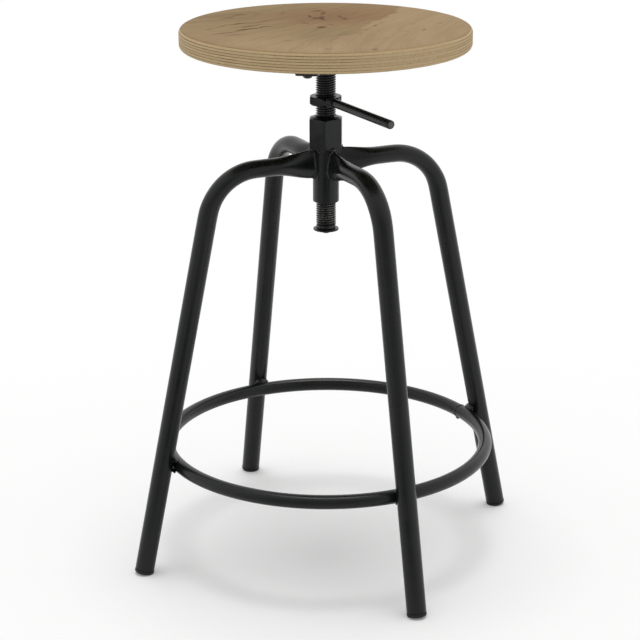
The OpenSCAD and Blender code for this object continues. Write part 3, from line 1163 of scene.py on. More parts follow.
@dataclass
class FootRing:
    """Tube ring with its butt weld and the beads that hold it to the legs."""

    leg: Leg
    level: float = 144 * MM
    tube_d: float = 18 * MM
    # Room between the ring and each leg, which the beads fill
    gap: float = 0.2 * MM
    # Where the ring's ends meet, how far apart they stand and how deep the weld between them sits
    seam_turn: float = math.radians(48.7)
    seam_gap: float = 0.96 * MM
    seam_sink: float = 0.7 * MM
    seam_drops: int = 30
    # How much its drops differ: round the ring, and in radius
    seam_range_mm: Point2 = (-0.35, 0.35)
    seam_drop_mm: Point2 = (1.5, 1.8)
    # Drips under the seam, in mm: how far in from the tube's middle, how far below it, their radius
    drips_mm: tuple[Point3, ...] = ((3.0, 0.1, 2.2), (4.2, -0.6, 2.0), (2.0, 0.3, 1.9))
    # Each groove's drops lie this far apart, and this many to either side of the leg's middle
    groove_step: float = 1.15 * MM
    groove_half: int = 7
    groove_lift: float = math.radians(52)
    # Side of the ring, and radius of the middle drop there in mm. Drops shrink to the bead's ends
    groove_sides: tuple[Point2, ...] = ((1, 3.5), (-1, 2.9))
    groove_shrink: float = 0.09
    groove_range: Point2 = (0.9, 1.08)
    # Where a drop that climbs the leg lies from the one under it in mm, and its share of the size
    climb_mm: Point2 = (1.7, 2.7)
    climb_range_mm: Point2 = (-0.3, 0.3)
    climb_share: float = 0.68
    facets: int = 224
    section: int = 40

    @property
    def radius(self) -> float:
        """Radius of the ring, to the middle of its tube."""
        leg = self.leg
        reach = (leg.tube_d + self.tube_d) / 2 + self.gap
        return leg.foot_reach - self.level * math.tan(leg.splay) - reach / math.cos(leg.splay)

    def build_ring(self) -> bpy.types.Object:
        """Models the ring by spinning its section, left open by the seam's gap.

        Returns:
            The ring.
        """
        rest_hands()
        bpy.ops.mesh.primitive_circle_add(
            vertices=self.section, radius=self.tube_d / 2, fill_type="NGON",
            location=(self.radius, 0, self.level), rotation=(math.pi / 2, 0, 0),
        )
        ring = open_piece("foot_ring_tube")
        gap = self.seam_gap / self.radius
        turn(self.seam_turn + gap / 2, "Z", (0, 0, self.level))
        spin(self.facets, FULL_TURN - gap)
        return close_piece(ring, 50)

    def build_seam(self, dice: random.Random) -> bpy.types.Object:
        """Models the butt weld that closes the ring.

        Args:
            dice: Source of the drops' small differences.

        Returns:
            The weld.
        """
        r = self.tube_d / 2
        inner = r - self.seam_sink
        blobs = []
        for k in range(self.seam_drops):
            a = FULL_TURN * k / self.seam_drops
            spot = self.seam_turn + dice.uniform(*self.seam_range_mm) * MM / self.radius
            at = around(self.radius + inner * math.cos(a), spot, self.level + inner * math.sin(a))
            blobs.append(Blob(at, dice.uniform(*self.seam_drop_mm) * MM))
        for inward, down, size in self.drips_mm:
            at = around(self.radius - inward * MM, self.seam_turn, self.level - r - down * MM)
            blobs.append(Blob(at, size * MM))
        return weld_bead("ring_seam_bead", blobs, 0.5 * MM)

    def build_welds(self, dice: random.Random) -> bpy.types.Object:
        """Models the beads in the grooves above and below the ring at each leg."""
        blobs = [blob for corner in Corner for blob in self._groove_blobs(dice, corner)]
        return weld_bead("ring_weld_beads", blobs, 0.55 * MM)

    def _groove_blobs(self, dice: random.Random, corner: Corner) -> list[Blob]:
        """The drops in the two grooves at one leg. Those in the upper one climb the leg.

        Args:
            dice: Source of the drops' small differences.
            corner: The leg's corner.

        Returns:
            The drops, in place.
        """
        r, leg_r = self.tube_d / 2, self.leg.tube_d / 2
        blobs = []
        for side, full in self.groove_sides:
            lift = self.groove_lift * side + self.leg.splay
            ring = self.radius + r * math.cos(lift)
            z = self.level + r * math.sin(lift) + side * 0.4 * MM
            for k in range(-self.groove_half, self.groove_half + 1):
                across = k * self.groove_step
                slack = leg_r - math.sqrt(leg_r**2 - across**2)
                at = Vector((ring + 0.9 * MM + slack * 0.5, across, z))
                shrunk = full - self.groove_shrink * abs(k) ** 1.4
                size = shrunk * dice.uniform(*self.groove_range) * MM
                blobs.append(Blob(about_z(corner.turn) @ at, size))
                if side > 0 and abs(k) < self.groove_half:
                    out, up = self.climb_mm
                    climb = Vector((out, 0, up + dice.uniform(*self.climb_range_mm))) * MM
                    blobs.append(Blob(about_z(corner.turn) @ (at + climb), size * self.climb_share))
        return blobs


# Finishes

Socket = bpy.types.NodeSocket
Finish = tuple[bpy.types.Material, bpy.types.NodeTree, bpy.types.Node, Socket]
Inputs = dict[Any, Any] | Sequence[Any]
# Sockets of a Mix node: its two numbers, its two colours and the mixed colour
NUMBER_A, NUMBER_B, COLOUR_A, COLOUR_B, MIXED_COLOUR = 2, 3, 6, 7, 2
MM_PER_M = 1000


def linear(hex_colour: str) -> tuple[float, float, float, float]:
    """Turns an sRGB colour into linear light.

    Args:
        hex_colour: The colour, such as "#a08060".

    Returns:
        Linear red, green and blue, and an alpha of 1.
    """
    values = [int(hex_colour[k:k + 2], 16) / 255 for k in (1, 3, 5)]
    red, green, blue = [v / 12.92 if v <= 0.04045 else ((v + 0.055) / 1.055) ** 2.4 for v in values]
    return red, green, blue, 1.0


def feed(tree: bpy.types.NodeTree, node: bpy.types.Node, inputs: Inputs) -> None:
    """Sets or links a node's inputs.

    Args:
        tree: The node tree.
        node: The node.
        inputs: A value or another node's output for each input, either in the order of the
            inputs or in a dictionary by their names or numbers.
    """
    for key, value in inputs.items() if isinstance(inputs, dict) else enumerate(inputs):
        if isinstance(value, Socket):
            tree.links.new(value, node.inputs[key])
        else:
            node.inputs[key].default_value = value


def add_node(
    tree: bpy.types.NodeTree,
    kind: str,
    inputs: Inputs = (),
    out: int | str = 0,
    stops: Sequence[tuple[float, str]] = (),
    **settings: Any,
) -> Socket:
    """Adds a node with its settings, values and links.

    Args:
        tree: The node tree.
        kind: The node's type, without the ShaderNode that every type starts with.
        inputs: What its inputs get, as feed takes it.
        out: Name or number of the output that is wanted.
        stops: Place and colour of each of a ramp's two stops.
        **settings: Values for the node's own settings.

    Returns:
        The output.
    """
    node = tree.nodes.new("ShaderNode" + kind)
    for key, value in settings.items():
        setattr(node, key, value)
    feed(tree, node, inputs)
    for k, (position, colour) in enumerate(stops):
        node.color_ramp.elements[k].position = position
        node.color_ramp.elements[k].color = linear(colour)
    return node.outputs[out]


def new_finish(name: str, specular: float) -> Finish:
    """Starts a finish.

    Args:
        name: Name of the material.
        specular: How strongly the bare surface mirrors, 0.5 being usual.

    Returns:
        The material, its node tree, its shader and the place on the piece that its patterns read.
    """
    material = bpy.data.materials.new(name)
    material.use_nodes = True
    tree = material.node_tree
    shader = tree.nodes["Principled BSDF"]
    feed(tree, shader, {"Specular IOR Level": specular})
    return material, tree, shader, add_node(tree, "TexCoord", out="Object")


def soft_spot(
    tree: bpy.types.NodeTree, plan: Socket, middle: Point2, degrees: float, reach: Point2
) -> Socket:
    """A soft oval spot in a plan.

    Args:
        tree: The node tree.
        plan: Place in the plan.
        middle: The spot's middle.
        degrees: How far its long axis is turned.
        reach: How far it reaches along its long and its short axis.

    Returns:
        1 in the middle, 0 outside.
    """
    # The spot is a column this many metres tall, so that the height doesn't count
    tall = 1000
    column = ((*middle, 0), (0, 0, math.radians(degrees)), (*reach, tall))
    moved = add_node(tree, "Mapping", (plan, *column), vector_type="TEXTURE")
    far = add_node(tree, "VectorMath", (moved,), "Value", operation="LENGTH")
    return add_node(tree, "MapRange", (far, 1.0, 0.15), interpolation_type="SMOOTHSTEP")


@dataclass(frozen=True)
class PowderCoat:
    """Satin black polyester powder coat, baked on steel.

    It gives the eye a deep black with a wide, soft gleam, a faint orange peel and gloss that
    differs a little from place to place.
    """

    name: str
    dark: str = "#0e1110"
    light: str = "#151816"
    specular: float = 0.31
    roughness: float = 0.27
    # How much smoother and how much rougher the coat is in places
    gloss_spread: Point2 = (0.05, 0.06)
    # Real orange peel is about 1 mm across, and is drawn a little coarser so that it shows
    peel_mm: float = 1.6
    peel_depth_mm: float = 0.02
    cloud_mm: float = 30.0
    # Painted highlight, if any: where the coat is painted paler to stand for light falling on it, how far
    # round it, how much and to what colour
    highlight_at: Optional[Point3] = None
    highlight_reach: float = 4.8 * MM
    highlight_fade: float = 1.5 * MM
    highlight_strength: float = 1.6
    wear_and_highlight: str = "#5c5e59"

    def material(self) -> bpy.types.Material:
        """Builds the finish.

        Returns:
            The material.
        """
        made, tree, shader, spot = new_finish(self.name, self.specular)
        clouds = add_node(
            tree, "TexNoise", {"Vector": spot, "Scale": MM_PER_M / self.cloud_mm, "Detail": 4.0}
        )
        colour = add_node(tree, "ValToRGB", (clouds,), stops=((0.35, self.dark), (0.7, self.light)))
        # Painted highlight: the coat is painted paler round that place, broken up by the clouds
        if self.highlight_at:
            far = add_node(tree, "VectorMath", (spot, self.highlight_at), "Value", operation="DISTANCE")
            near = add_node(tree, "MapRange", (far, self.highlight_reach, self.highlight_reach - self.highlight_fade))
            painted_highlight = add_node(tree, "Math", (near, clouds), operation="MULTIPLY")
            painted_highlight = add_node(tree, "Math", (painted_highlight, self.highlight_strength), operation="MULTIPLY")
            tones = {0: painted_highlight, COLOUR_A: colour, COLOUR_B: linear(self.wear_and_highlight)}
            colour = add_node(tree, "Mix", tones, MIXED_COLOUR, data_type="RGBA")
        smoother, rougher = self.gloss_spread
        gloss = add_node(
            tree, "MapRange", (clouds, 0.3, 0.7, self.roughness - smoother, self.roughness + rougher)
        )
        peel = add_node(
            tree, "TexNoise", {"Vector": spot, "Scale": MM_PER_M / self.peel_mm, "Detail": 2.0}
        )
        bump = add_node(
            tree, "Bump", {"Height": peel, "Strength": 0.6, "Distance": self.peel_depth_mm * MM}
        )
        feed(tree, shader, {"Base Color": colour, "Roughness": gloss, "Normal": bump})
        return made


@dataclass(frozen=True)
class ThreadSteel:
    """Cut steel thread, blackened and oiled, its crests bare where they ran in the nut.

    It gives the eye a black thread with fine glints, and grey metal on the crests of the lower
    end.
    """

    name: str
    spindle: Spindle
    black: str = "#131413"
    bare: str = "#aeafa5"
    specular: float = 0.4
    gloss: Point2 = (0.18, 0.36)
    # How far under the crest's edge the bare metal starts and is full
    crest_band: Point2 = (0.75 * MM, 0.15 * MM)
    # Heights between which the wear comes in above the end, and fades away further up
    worn_from: float = 446 * MM
    worn_full: float = 452 * MM
    worn_below: float = 500 * MM
    black_above: float = 560 * MM
    wear_mm: float = 5.0

    def material(self) -> bpy.types.Material:
        """Builds the finish.

        Returns:
            The material.
        """
        made, tree, shader, spot = new_finish(self.name, self.specular)
        x, y, height = add_node(tree, "SeparateXYZ", (spot,)).node.outputs
        flat = add_node(tree, "CombineXYZ", (x, y))
        radius = add_node(tree, "VectorMath", (flat,), "Value", operation="LENGTH")
        outer = self.spindle.outer_d / 2
        start, full = self.crest_band
        crest = add_node(tree, "MapRange", (radius, outer - start, outer - full))
        low = add_node(tree, "MapRange", (height, self.black_above, self.worn_below))
        above_end = add_node(tree, "MapRange", (height, self.worn_from, self.worn_full))
        grit = add_node(
            tree, "TexNoise", {"Vector": spot, "Scale": MM_PER_M / self.wear_mm, "Detail": 5.0}
        )
        wear_and_highlight = add_node(tree, "MapRange", (grit, 0.32, 0.5))
        for share in (crest, low, above_end):
            wear_and_highlight = add_node(tree, "Math", (wear_and_highlight, share), operation="MULTIPLY")
        colour = add_node(tree, "ValToRGB", (wear_and_highlight,), stops=((0.0, self.black), (1.0, self.bare)))
        gloss = add_node(tree, "MapRange", (grit, 0.0, 1.0, *self.gloss))
        bump = add_node(tree, "Bump", {"Height": grit, "Strength": 0.3, "Distance": 0.03 * MM})
        dressed = {"Base Color": colour, "Metallic": wear_and_highlight, "Roughness": gloss, "Normal": bump}
        feed(tree, shader, dressed)
        return made


@dataclass(frozen=True)
class MouldedCap:
    """Black polyethylene, injection moulded in a lightly etched tool.

    It gives the eye a flat, slightly grey black with a fine grain, and is painted paler near the floor as
    a reflection of the white floor.
    """

    name: str
    body: str = "#1a1c1b"
    # Colour of the painted reflection of the white floor, near the sole
    floor_reflection_tone: str = "#3a3c3a"
    specular: float = 0.3
    gloss: Point2 = (0.44, 0.62)
    # The etched grain is about 0.3 mm, and is drawn at 0.8 mm so that it shows
    grain_mm: float = 0.8
    grain_depth_mm: float = 0.05
    reflection_band_height: float = 1.8 * MM

    def material(self) -> bpy.types.Material:
        """Builds the finish.

        Returns:
            The material.
        """
        made, tree, shader, spot = new_finish(self.name, self.specular)
        height = add_node(tree, "SeparateXYZ", (spot,), "Z")
        grain = add_node(
            tree, "TexNoise", {"Vector": spot, "Scale": MM_PER_M / self.grain_mm, "Detail": 3.0}
        )
        # Painted reflection: paler towards the floor, broken up by the grain
        painted_floor_reflection = add_node(tree, "MapRange", (height, self.reflection_band_height, 0.0))
        painted_floor_reflection = add_node(tree, "Math", (painted_floor_reflection, grain), operation="MULTIPLY")
        colour = add_node(tree, "ValToRGB", (painted_floor_reflection,), stops=((0.1, self.body), (0.6, self.floor_reflection_tone)))
        gloss = add_node(tree, "MapRange", (grain, 0.0, 1.0, *self.gloss))
        bump = add_node(
            tree, "Bump", {"Height": grain, "Strength": 0.5, "Distance": self.grain_depth_mm * MM}
        )
        feed(tree, shader, {"Base Color": colour, "Roughness": gloss, "Normal": bump})
        return made


@dataclass(frozen=True)
class Mark:
    """A small dark mark in the face veneer, in the seat's own plan.

    Lengths are half sizes in millimetres out to where the mark has faded away, and the turn is
    in degrees.
    """

    x: float
    y: float
    turn: float
    length: float
    width: float
    depth: float


@dataclass(frozen=True)
class Plywood:
    """Birch plywood under a thin matt lacquer, drawn as solid wood from its place in the board.

    It gives the eye a warm beige face with a browner heart, streaks that fan out and a small
    knot, and on the rim pale plies whose grain turns from one to the next between dark glue lines.
    """

    name: str
    board: SeatBoard
    sapwood: str = "#a18764"
    sapwood_light: str = "#a88f6b"
    heartwood: str = "#907a57"
    heartwood_light: str = "#99835d"
    heartwood_red: str = "#92714d"
    streak: str = "#593812"
    # Painted shade: the underside is painted greyer to stand for its lying in shade, so that the black
    # arms mirror it neutral rather than brown
    underside: str = "#8e897f"
    underside_shade_share: float = 0.7
    ply_light: str = "#d2bc97"
    ply_dark: str = "#b99f77"
    glue: str = "#5e482c"
    # The lacquer is thin and matt, so it hardly mirrors
    specular: float = 0.03
    gloss: Point2 = (0.44, 0.6)
    pore_depth_mm: float = 0.05
    # Axes of the drawing: the plan's own, and the grain's, which fans out by so much per metre
    plan_turn: float = math.radians(20)
    grain_turn: float = math.radians(55)
    fan: float = 3.2
    # How far the streaks waver across the grain
    waver: float = 26 * MM
    # The heart's edge: its slant to the grain, its place across it, its softness and how it wavers
    heart_slant: float = -0.252
    heart_edge: float = -33 * MM
    heart_soft: float = 3 * MM
    heart_waver: float = 34 * MM
    # The heart fades back to the pale wood between these places along the grain
    heart_fade: Point2 = (-160 * MM, -20 * MM)
    # The reddish part of the heart, and the part of the rim where the saw met the grain and the
    # glue lines are faint: middle, turn in degrees and reach
    red_part: tuple[Point2, float, Point2] = ((30 * MM, 80 * MM), 20, (170 * MM, 120 * MM))
    faint_part: tuple[Point2, float, Point2] = ((110 * MM, -150 * MM), 35, (150 * MM, 60 * MM))
    # Sizes of the figure along the grain, across it and through the board. Pores are about 0.1 mm
    # wide, and are drawn at 0.7 mm so that they show
    pore_mm: Point3 = (14, 0.7, 3)
    cloud_mm: Point3 = (110, 38, 60)
    band_mm: Point3 = (170, 7.5, 20)
    streak_mm: Point3 = (75, 2.4, 8)
    waver_mm: Point3 = (90, 45, 45)
    heart_mm: Point3 = (38, 38, 38)
    ply_mm: Point3 = (26, 1.1, 1.3)
    patch_mm: Point3 = (45, 45, 5)
    # A glue line is about 0.2 mm thick, and is drawn at 0.8 mm so that it shows
    glue_mm: float = 0.8
    # Two wide shades, the knot with its splits, the streaks at its left, and the flecks at its
    # right and along the heart
    marks: tuple[Mark, ...] = (
        Mark(-2, 66, 0, 85, 62, 0.2),
        Mark(-140, -20, 0, 120, 170, 0.06),
        Mark(-5, -11, 26, 9, 8.8, 1.20),
        Mark(-4, 57, -83, 22, 4.7, 0.98),
        Mark(-12, 58, -17, 8, 8.8, 0.78),
        Mark(-21, 72, -78, 13, 3.1, 0.91),
        Mark(-11, 114, 32, 14, 7.6, 0.78),
        Mark(-2, 97, 82, 20, 3.7, 0.52),
        Mark(18, 68, -68, 12, 3.7, 0.65),
        Mark(24, 52, -60, 9, 4.9, 0.78),
        Mark(-56, 97, 64, 10, 3.3, 0.78),
        Mark(-26, 21, -38, 8, 4.7, 0.65),
        Mark(-31, 42, 27, 10, 5.4, 0.39),
        Mark(6, 8, 24, 6, 6.5, 0.39),
        Mark(-75, -6, 32, 14, 3.6, 0.59),
        Mark(-124, -49, 37, 26, 3.6, 0.59),
        Mark(-100, -25, 36, 22, 5.1, 0.90),
        Mark(-85, -15, 42, 22, 3.1, 0.59),
        Mark(-147, -22, 46, 18, 3.5, 0.42),
        Mark(-131, -2, 53, 22, 2.9, 0.54),
        Mark(-110, 17, 30, 26, 5.6, 0.66),
        Mark(-97, -3, 38, 35, 3.7, 0.54),
        Mark(-114, -63, 22, 20, 3.8, 0.42),
        Mark(-81, 31, 45, 40, 5.6, 0.35),
        Mark(-124, 64, 42, 19, 4.7, 0.42),
        Mark(-110, 84, 35, 18, 6.7, 0.42),
        Mark(-88, 88, 51, 14, 4.7, 0.35),
        Mark(123, -30, 70, 12, 2.2, 0.73),
        Mark(57, -160, 19, 7, 5.5, 0.62),
        Mark(74, -84, 58, 15, 3.3, 0.21),
        Mark(97, -38, 42, 8, 7.2, 0.26),
        Mark(111, 10, 51, 11, 4.9, 0.21),
        Mark(145, 17, 57, 8, 4.2, 0.26),
        Mark(1, -160, 24, 7, 4.7, 0.45),
        Mark(-48, -101, 28, 8, 4.8, 0.39),
        Mark(70, 24, 69, 11, 2.8, 0.57),
        Mark(63, 1, 63, 11, 3.5, 0.52),
        Mark(50, -28, 63, 10, 3.4, 0.47),
        Mark(40, -55, 58, 11, 3.4, 0.36),
    )
    # The marks are stirred by figure of this size, this far
    stir_mm: float = 16
    stir_reach: float = 12 * MM
    darkest: float = 0.95

    def material(self) -> bpy.types.Material:
        """Builds the finish.

        Returns:
            The material.
        """
        made, tree, shader, spot = new_finish(self.name, self.specular)
        board = self.board
        height = add_node(tree, "SeparateXYZ", (spot,), "Z")
        plan = self._turned(tree, spot, self.plan_turn)
        from_middle = add_node(
            tree, "Math", (height, board.top - board.thickness / 2), operation="SUBTRACT"
        )
        depth = add_node(tree, "Math", (from_middle,), operation="ABSOLUTE")
        inside = board.thickness / 2 - board.veneer
        on_face = add_node(tree, "MapRange", (depth, inside, inside + 0.1 * MM))
        face, pores = self._face(tree, spot, plan, height)
        tones = {0: on_face, COLOUR_A: self._rim(tree, spot, plan, height), COLOUR_B: face}
        colour = add_node(tree, "Mix", tones, MIXED_COLOUR, data_type="RGBA")
        gloss = add_node(tree, "MapRange", (pores, 0.0, 1.0, *self.gloss))
        bump = add_node(
            tree, "Bump", {"Height": pores, "Strength": 0.25, "Distance": self.pore_depth_mm * MM}
        )
        feed(tree, shader, {"Base Color": colour, "Roughness": gloss, "Normal": bump})
        return made

    @staticmethod
    def _turned(tree: bpy.types.NodeTree, spot: Socket, angle: float) -> Socket:
        """The place on the piece in axes that are turned about the spindle, in radians."""
        return add_node(tree, "Mapping", {"Vector": spot, "Rotation": (0, 0, -angle)})

    @staticmethod
    def _figure(
        tree: bpy.types.NodeTree,
        along: Socket,
        size_mm: Point3,
        detail: float = 3.0,
        twist: float = 0.0,
    ) -> Socket:
        """Cloudy figure stretched to a real size.

        Args:
            tree: The node tree.
            along: Place along the grain, across it and through the board.
            size_mm: Size of the figure in those three directions.
            detail: How much finer figure is laid over it.
            twist: How much the figure is stirred.

        Returns:
            The figure, from 0 to 1.
        """
        scaled = add_node(
            tree, "Mapping", {"Vector": along, "Scale": [MM_PER_M / size for size in size_mm]}
        )
        return add_node(
            tree, "TexNoise", {"Vector": scaled, "Scale": 1.0, "Detail": detail, "Distortion": twist}
        )

    def _grain_place(self, tree: bpy.types.NodeTree, spot: Socket) -> tuple[Socket, Socket, Socket]:
        """Place along the fanning grain.

        Args:
            tree: The node tree.
            spot: Place on the piece.

        Returns:
            The place along and across the grain as one vector, and both values of the straight grain.
        """
        straight = self._turned(tree, spot, self.plan_turn + self.grain_turn)
        along, across, up = add_node(tree, "SeparateXYZ", (straight,)).node.outputs
        spread = add_node(tree, "Math", (along, self.fan, 1.0), operation="MULTIPLY_ADD")
        fanned = add_node(tree, "Math", (across, spread), operation="MULTIPLY")
        stir = self._figure(tree, straight, self.waver_mm, 2.0)
        fanned = add_node(tree, "Math", (stir, self.waver, fanned), operation="MULTIPLY_ADD")
        return add_node(tree, "CombineXYZ", (along, fanned, up)), along, across

    def _face(
        self, tree: bpy.types.NodeTree, spot: Socket, plan: Socket, height: Socket
    ) -> tuple[Socket, Socket]:
        """Draws the face veneer.

        Args:
            tree: The node tree.
            spot: Place on the piece.
            plan: Place in the plan.
            height: Height above the floor.

        Returns:
            The colour and the height of the pores.
        """
        grain, along, across = self._grain_place(tree, spot)
        pores = self._figure(tree, grain, self.pore_mm)
        clouds = self._figure(tree, grain, self.cloud_mm)
        red = soft_spot(tree, plan, *self.red_part)
        stops = ((0.4, self.heartwood), (0.6, self.heartwood_light))
        heart = add_node(tree, "ValToRGB", (clouds,), stops=stops)
        stops = ((0.38, self.sapwood), (0.62, self.sapwood_light))
        colour = add_node(tree, "ValToRGB", (clouds,), stops=stops)
        edge = add_node(tree, "Math", (along, self.heart_slant, across), operation="MULTIPLY_ADD")
        waver = self._figure(tree, spot, self.heart_mm, 4.0)
        edge = add_node(tree, "Math", (waver, self.heart_waver, edge), operation="MULTIPLY_ADD")
        low, high = self.heart_edge - self.heart_soft, self.heart_edge + self.heart_soft
        is_heart = add_node(tree, "MapRange", (edge, low, high), interpolation_type="SMOOTHSTEP")
        fade = add_node(
            tree, "MapRange", (along, *self.heart_fade, 0.15, 0.95), interpolation_type="SMOOTHSTEP"
        )
        is_heart = add_node(tree, "Math", (is_heart, fade), operation="MULTIPLY")
        dark = self._darkening(tree, plan, grain, is_heart, pores)
        board = self.board
        # Painted shade on the underside: its face is greyed towards the underside colour
        under = add_node(
            tree, "MapRange",
            (height, board.bottom + 1 * MM, board.bottom, 0.0, self.underside_shade_share),
        )
        tones = {0: red, COLOUR_A: heart, COLOUR_B: linear(self.heartwood_red)}
        heart = add_node(tree, "Mix", tones, MIXED_COLOUR, data_type="RGBA")
        for share, other in (
            (is_heart, heart), (dark, linear(self.streak)), (under, linear(self.underside)),
        ):
            tones = {0: share, COLOUR_A: colour, COLOUR_B: other}
            colour = add_node(tree, "Mix", tones, MIXED_COLOUR, data_type="RGBA")
        return colour, pores

    def _darkening(
        self, tree: bpy.types.NodeTree, plan: Socket, grain: Socket, is_heart: Socket, pores: Socket
    ) -> Socket:
        """Adds up what darkens the face: bands, streaks, pores and the marks.

        Args:
            tree: The node tree.
            plan: Place in the plan.
            grain: Place along the fanning grain.
            is_heart: How much of the wood there is heartwood.
            pores: Height of the pores.

        Returns:
            How far the face is darkened, from 0 to 1.
        """
        bands = self._figure(tree, grain, self.band_mm, 3.0, 0.4)
        wide = add_node(tree, "MapRange", (bands, 0.45, 0.68, 0.0, 0.12))
        lively = add_node(tree, "MapRange", (is_heart, 0.0, 1.0, 0.06, 0.34))
        streaks = self._figure(tree, grain, self.streak_mm, 4.0, 0.3)
        narrow = add_node(tree, "MapRange", (streaks, 0.5, 0.66))
        total = add_node(tree, "Math", (narrow, lively, wide), operation="MULTIPLY_ADD")
        fine = add_node(tree, "MapRange", (pores, 0.5, 0.7, 0.0, 0.16))
        total = add_node(tree, "Math", (total, fine), operation="ADD")
        stir = add_node(
            tree, "TexNoise", {"Vector": plan, "Scale": MM_PER_M / self.stir_mm, "Detail": 4.0}, "Color"
        )
        shift = add_node(tree, "VectorMath", (stir, (0.5, 0.5, 0.5)), operation="SUBTRACT")
        reach = (self.stir_reach, self.stir_reach, 0)
        shift = add_node(tree, "VectorMath", (shift, reach), operation="MULTIPLY")
        plan = add_node(tree, "VectorMath", (plan, shift), operation="ADD")
        for mark in self.marks:
            middle, size = (mark.x * MM, mark.y * MM), (mark.length * MM, mark.width * MM)
            spot = soft_spot(tree, plan, middle, mark.turn, size)
            total = add_node(tree, "Math", (spot, mark.depth, total), operation="MULTIPLY_ADD")
        return add_node(tree, "Math", (total, self.darkest), operation="MINIMUM")

    def _rim(self, tree: bpy.types.NodeTree, spot: Socket, plan: Socket, height: Socket) -> Socket:
        """Draws the plies that the rim shows.

        Args:
            tree: The node tree.
            spot: Place on the piece.
            plan: Place in the plan.
            height: Height above the floor.

        Returns:
            The colour.
        """
        board = self.board
        count = add_node(tree, "Math", (height, board.bottom + board.veneer), operation="SUBTRACT")
        count = add_node(tree, "Math", (count, board.ply), operation="DIVIDE")
        number = add_node(tree, "Math", (count,), operation="FLOOR")
        odd = add_node(tree, "Math", (number, 1.0), operation="PINGPONG")
        face_turn = self.plan_turn + self.grain_turn
        plies = []
        for angle in (face_turn, face_turn + math.pi / 2):
            laid = self._turned(tree, spot, angle)
            plies.append(self._figure(tree, laid, self.ply_mm, 4.0, 0.2))
        figure = add_node(
            tree, "Mix", {0: odd, NUMBER_A: plies[0], NUMBER_B: plies[1]}, data_type="FLOAT"
        )
        # Every second ply is a little paler
        tone = add_node(tree, "Math", (odd, 0.12, figure), operation="MULTIPLY_ADD")
        wood = add_node(tree, "ValToRGB", (tone,), stops=((0.35, self.ply_dark), (0.85, self.ply_light)))
        off = add_node(tree, "Math", (count, 0.5), operation="PINGPONG")
        half = self.glue_mm / 2 * MM / board.ply
        line = add_node(tree, "MapRange", (off, half * 1.5, half * 0.5))
        patchy = self._figure(tree, spot, self.patch_mm, 2.0)
        patchy = add_node(tree, "MapRange", (patchy, 0.3, 0.7, 0.45, 0.9))
        faint = soft_spot(tree, plan, *self.faint_part)
        shown = add_node(tree, "MapRange", (faint, 0.0, 1.0, 1.0, 0.2))
        for share in (patchy, shown):
            line = add_node(tree, "Math", (line, share), operation="MULTIPLY")
        tones = {0: line, COLOUR_A: wood, COLOUR_B: linear(self.glue)}
        return add_node(tree, "Mix", tones, MIXED_COLOUR, data_type="RGBA")


# Studio


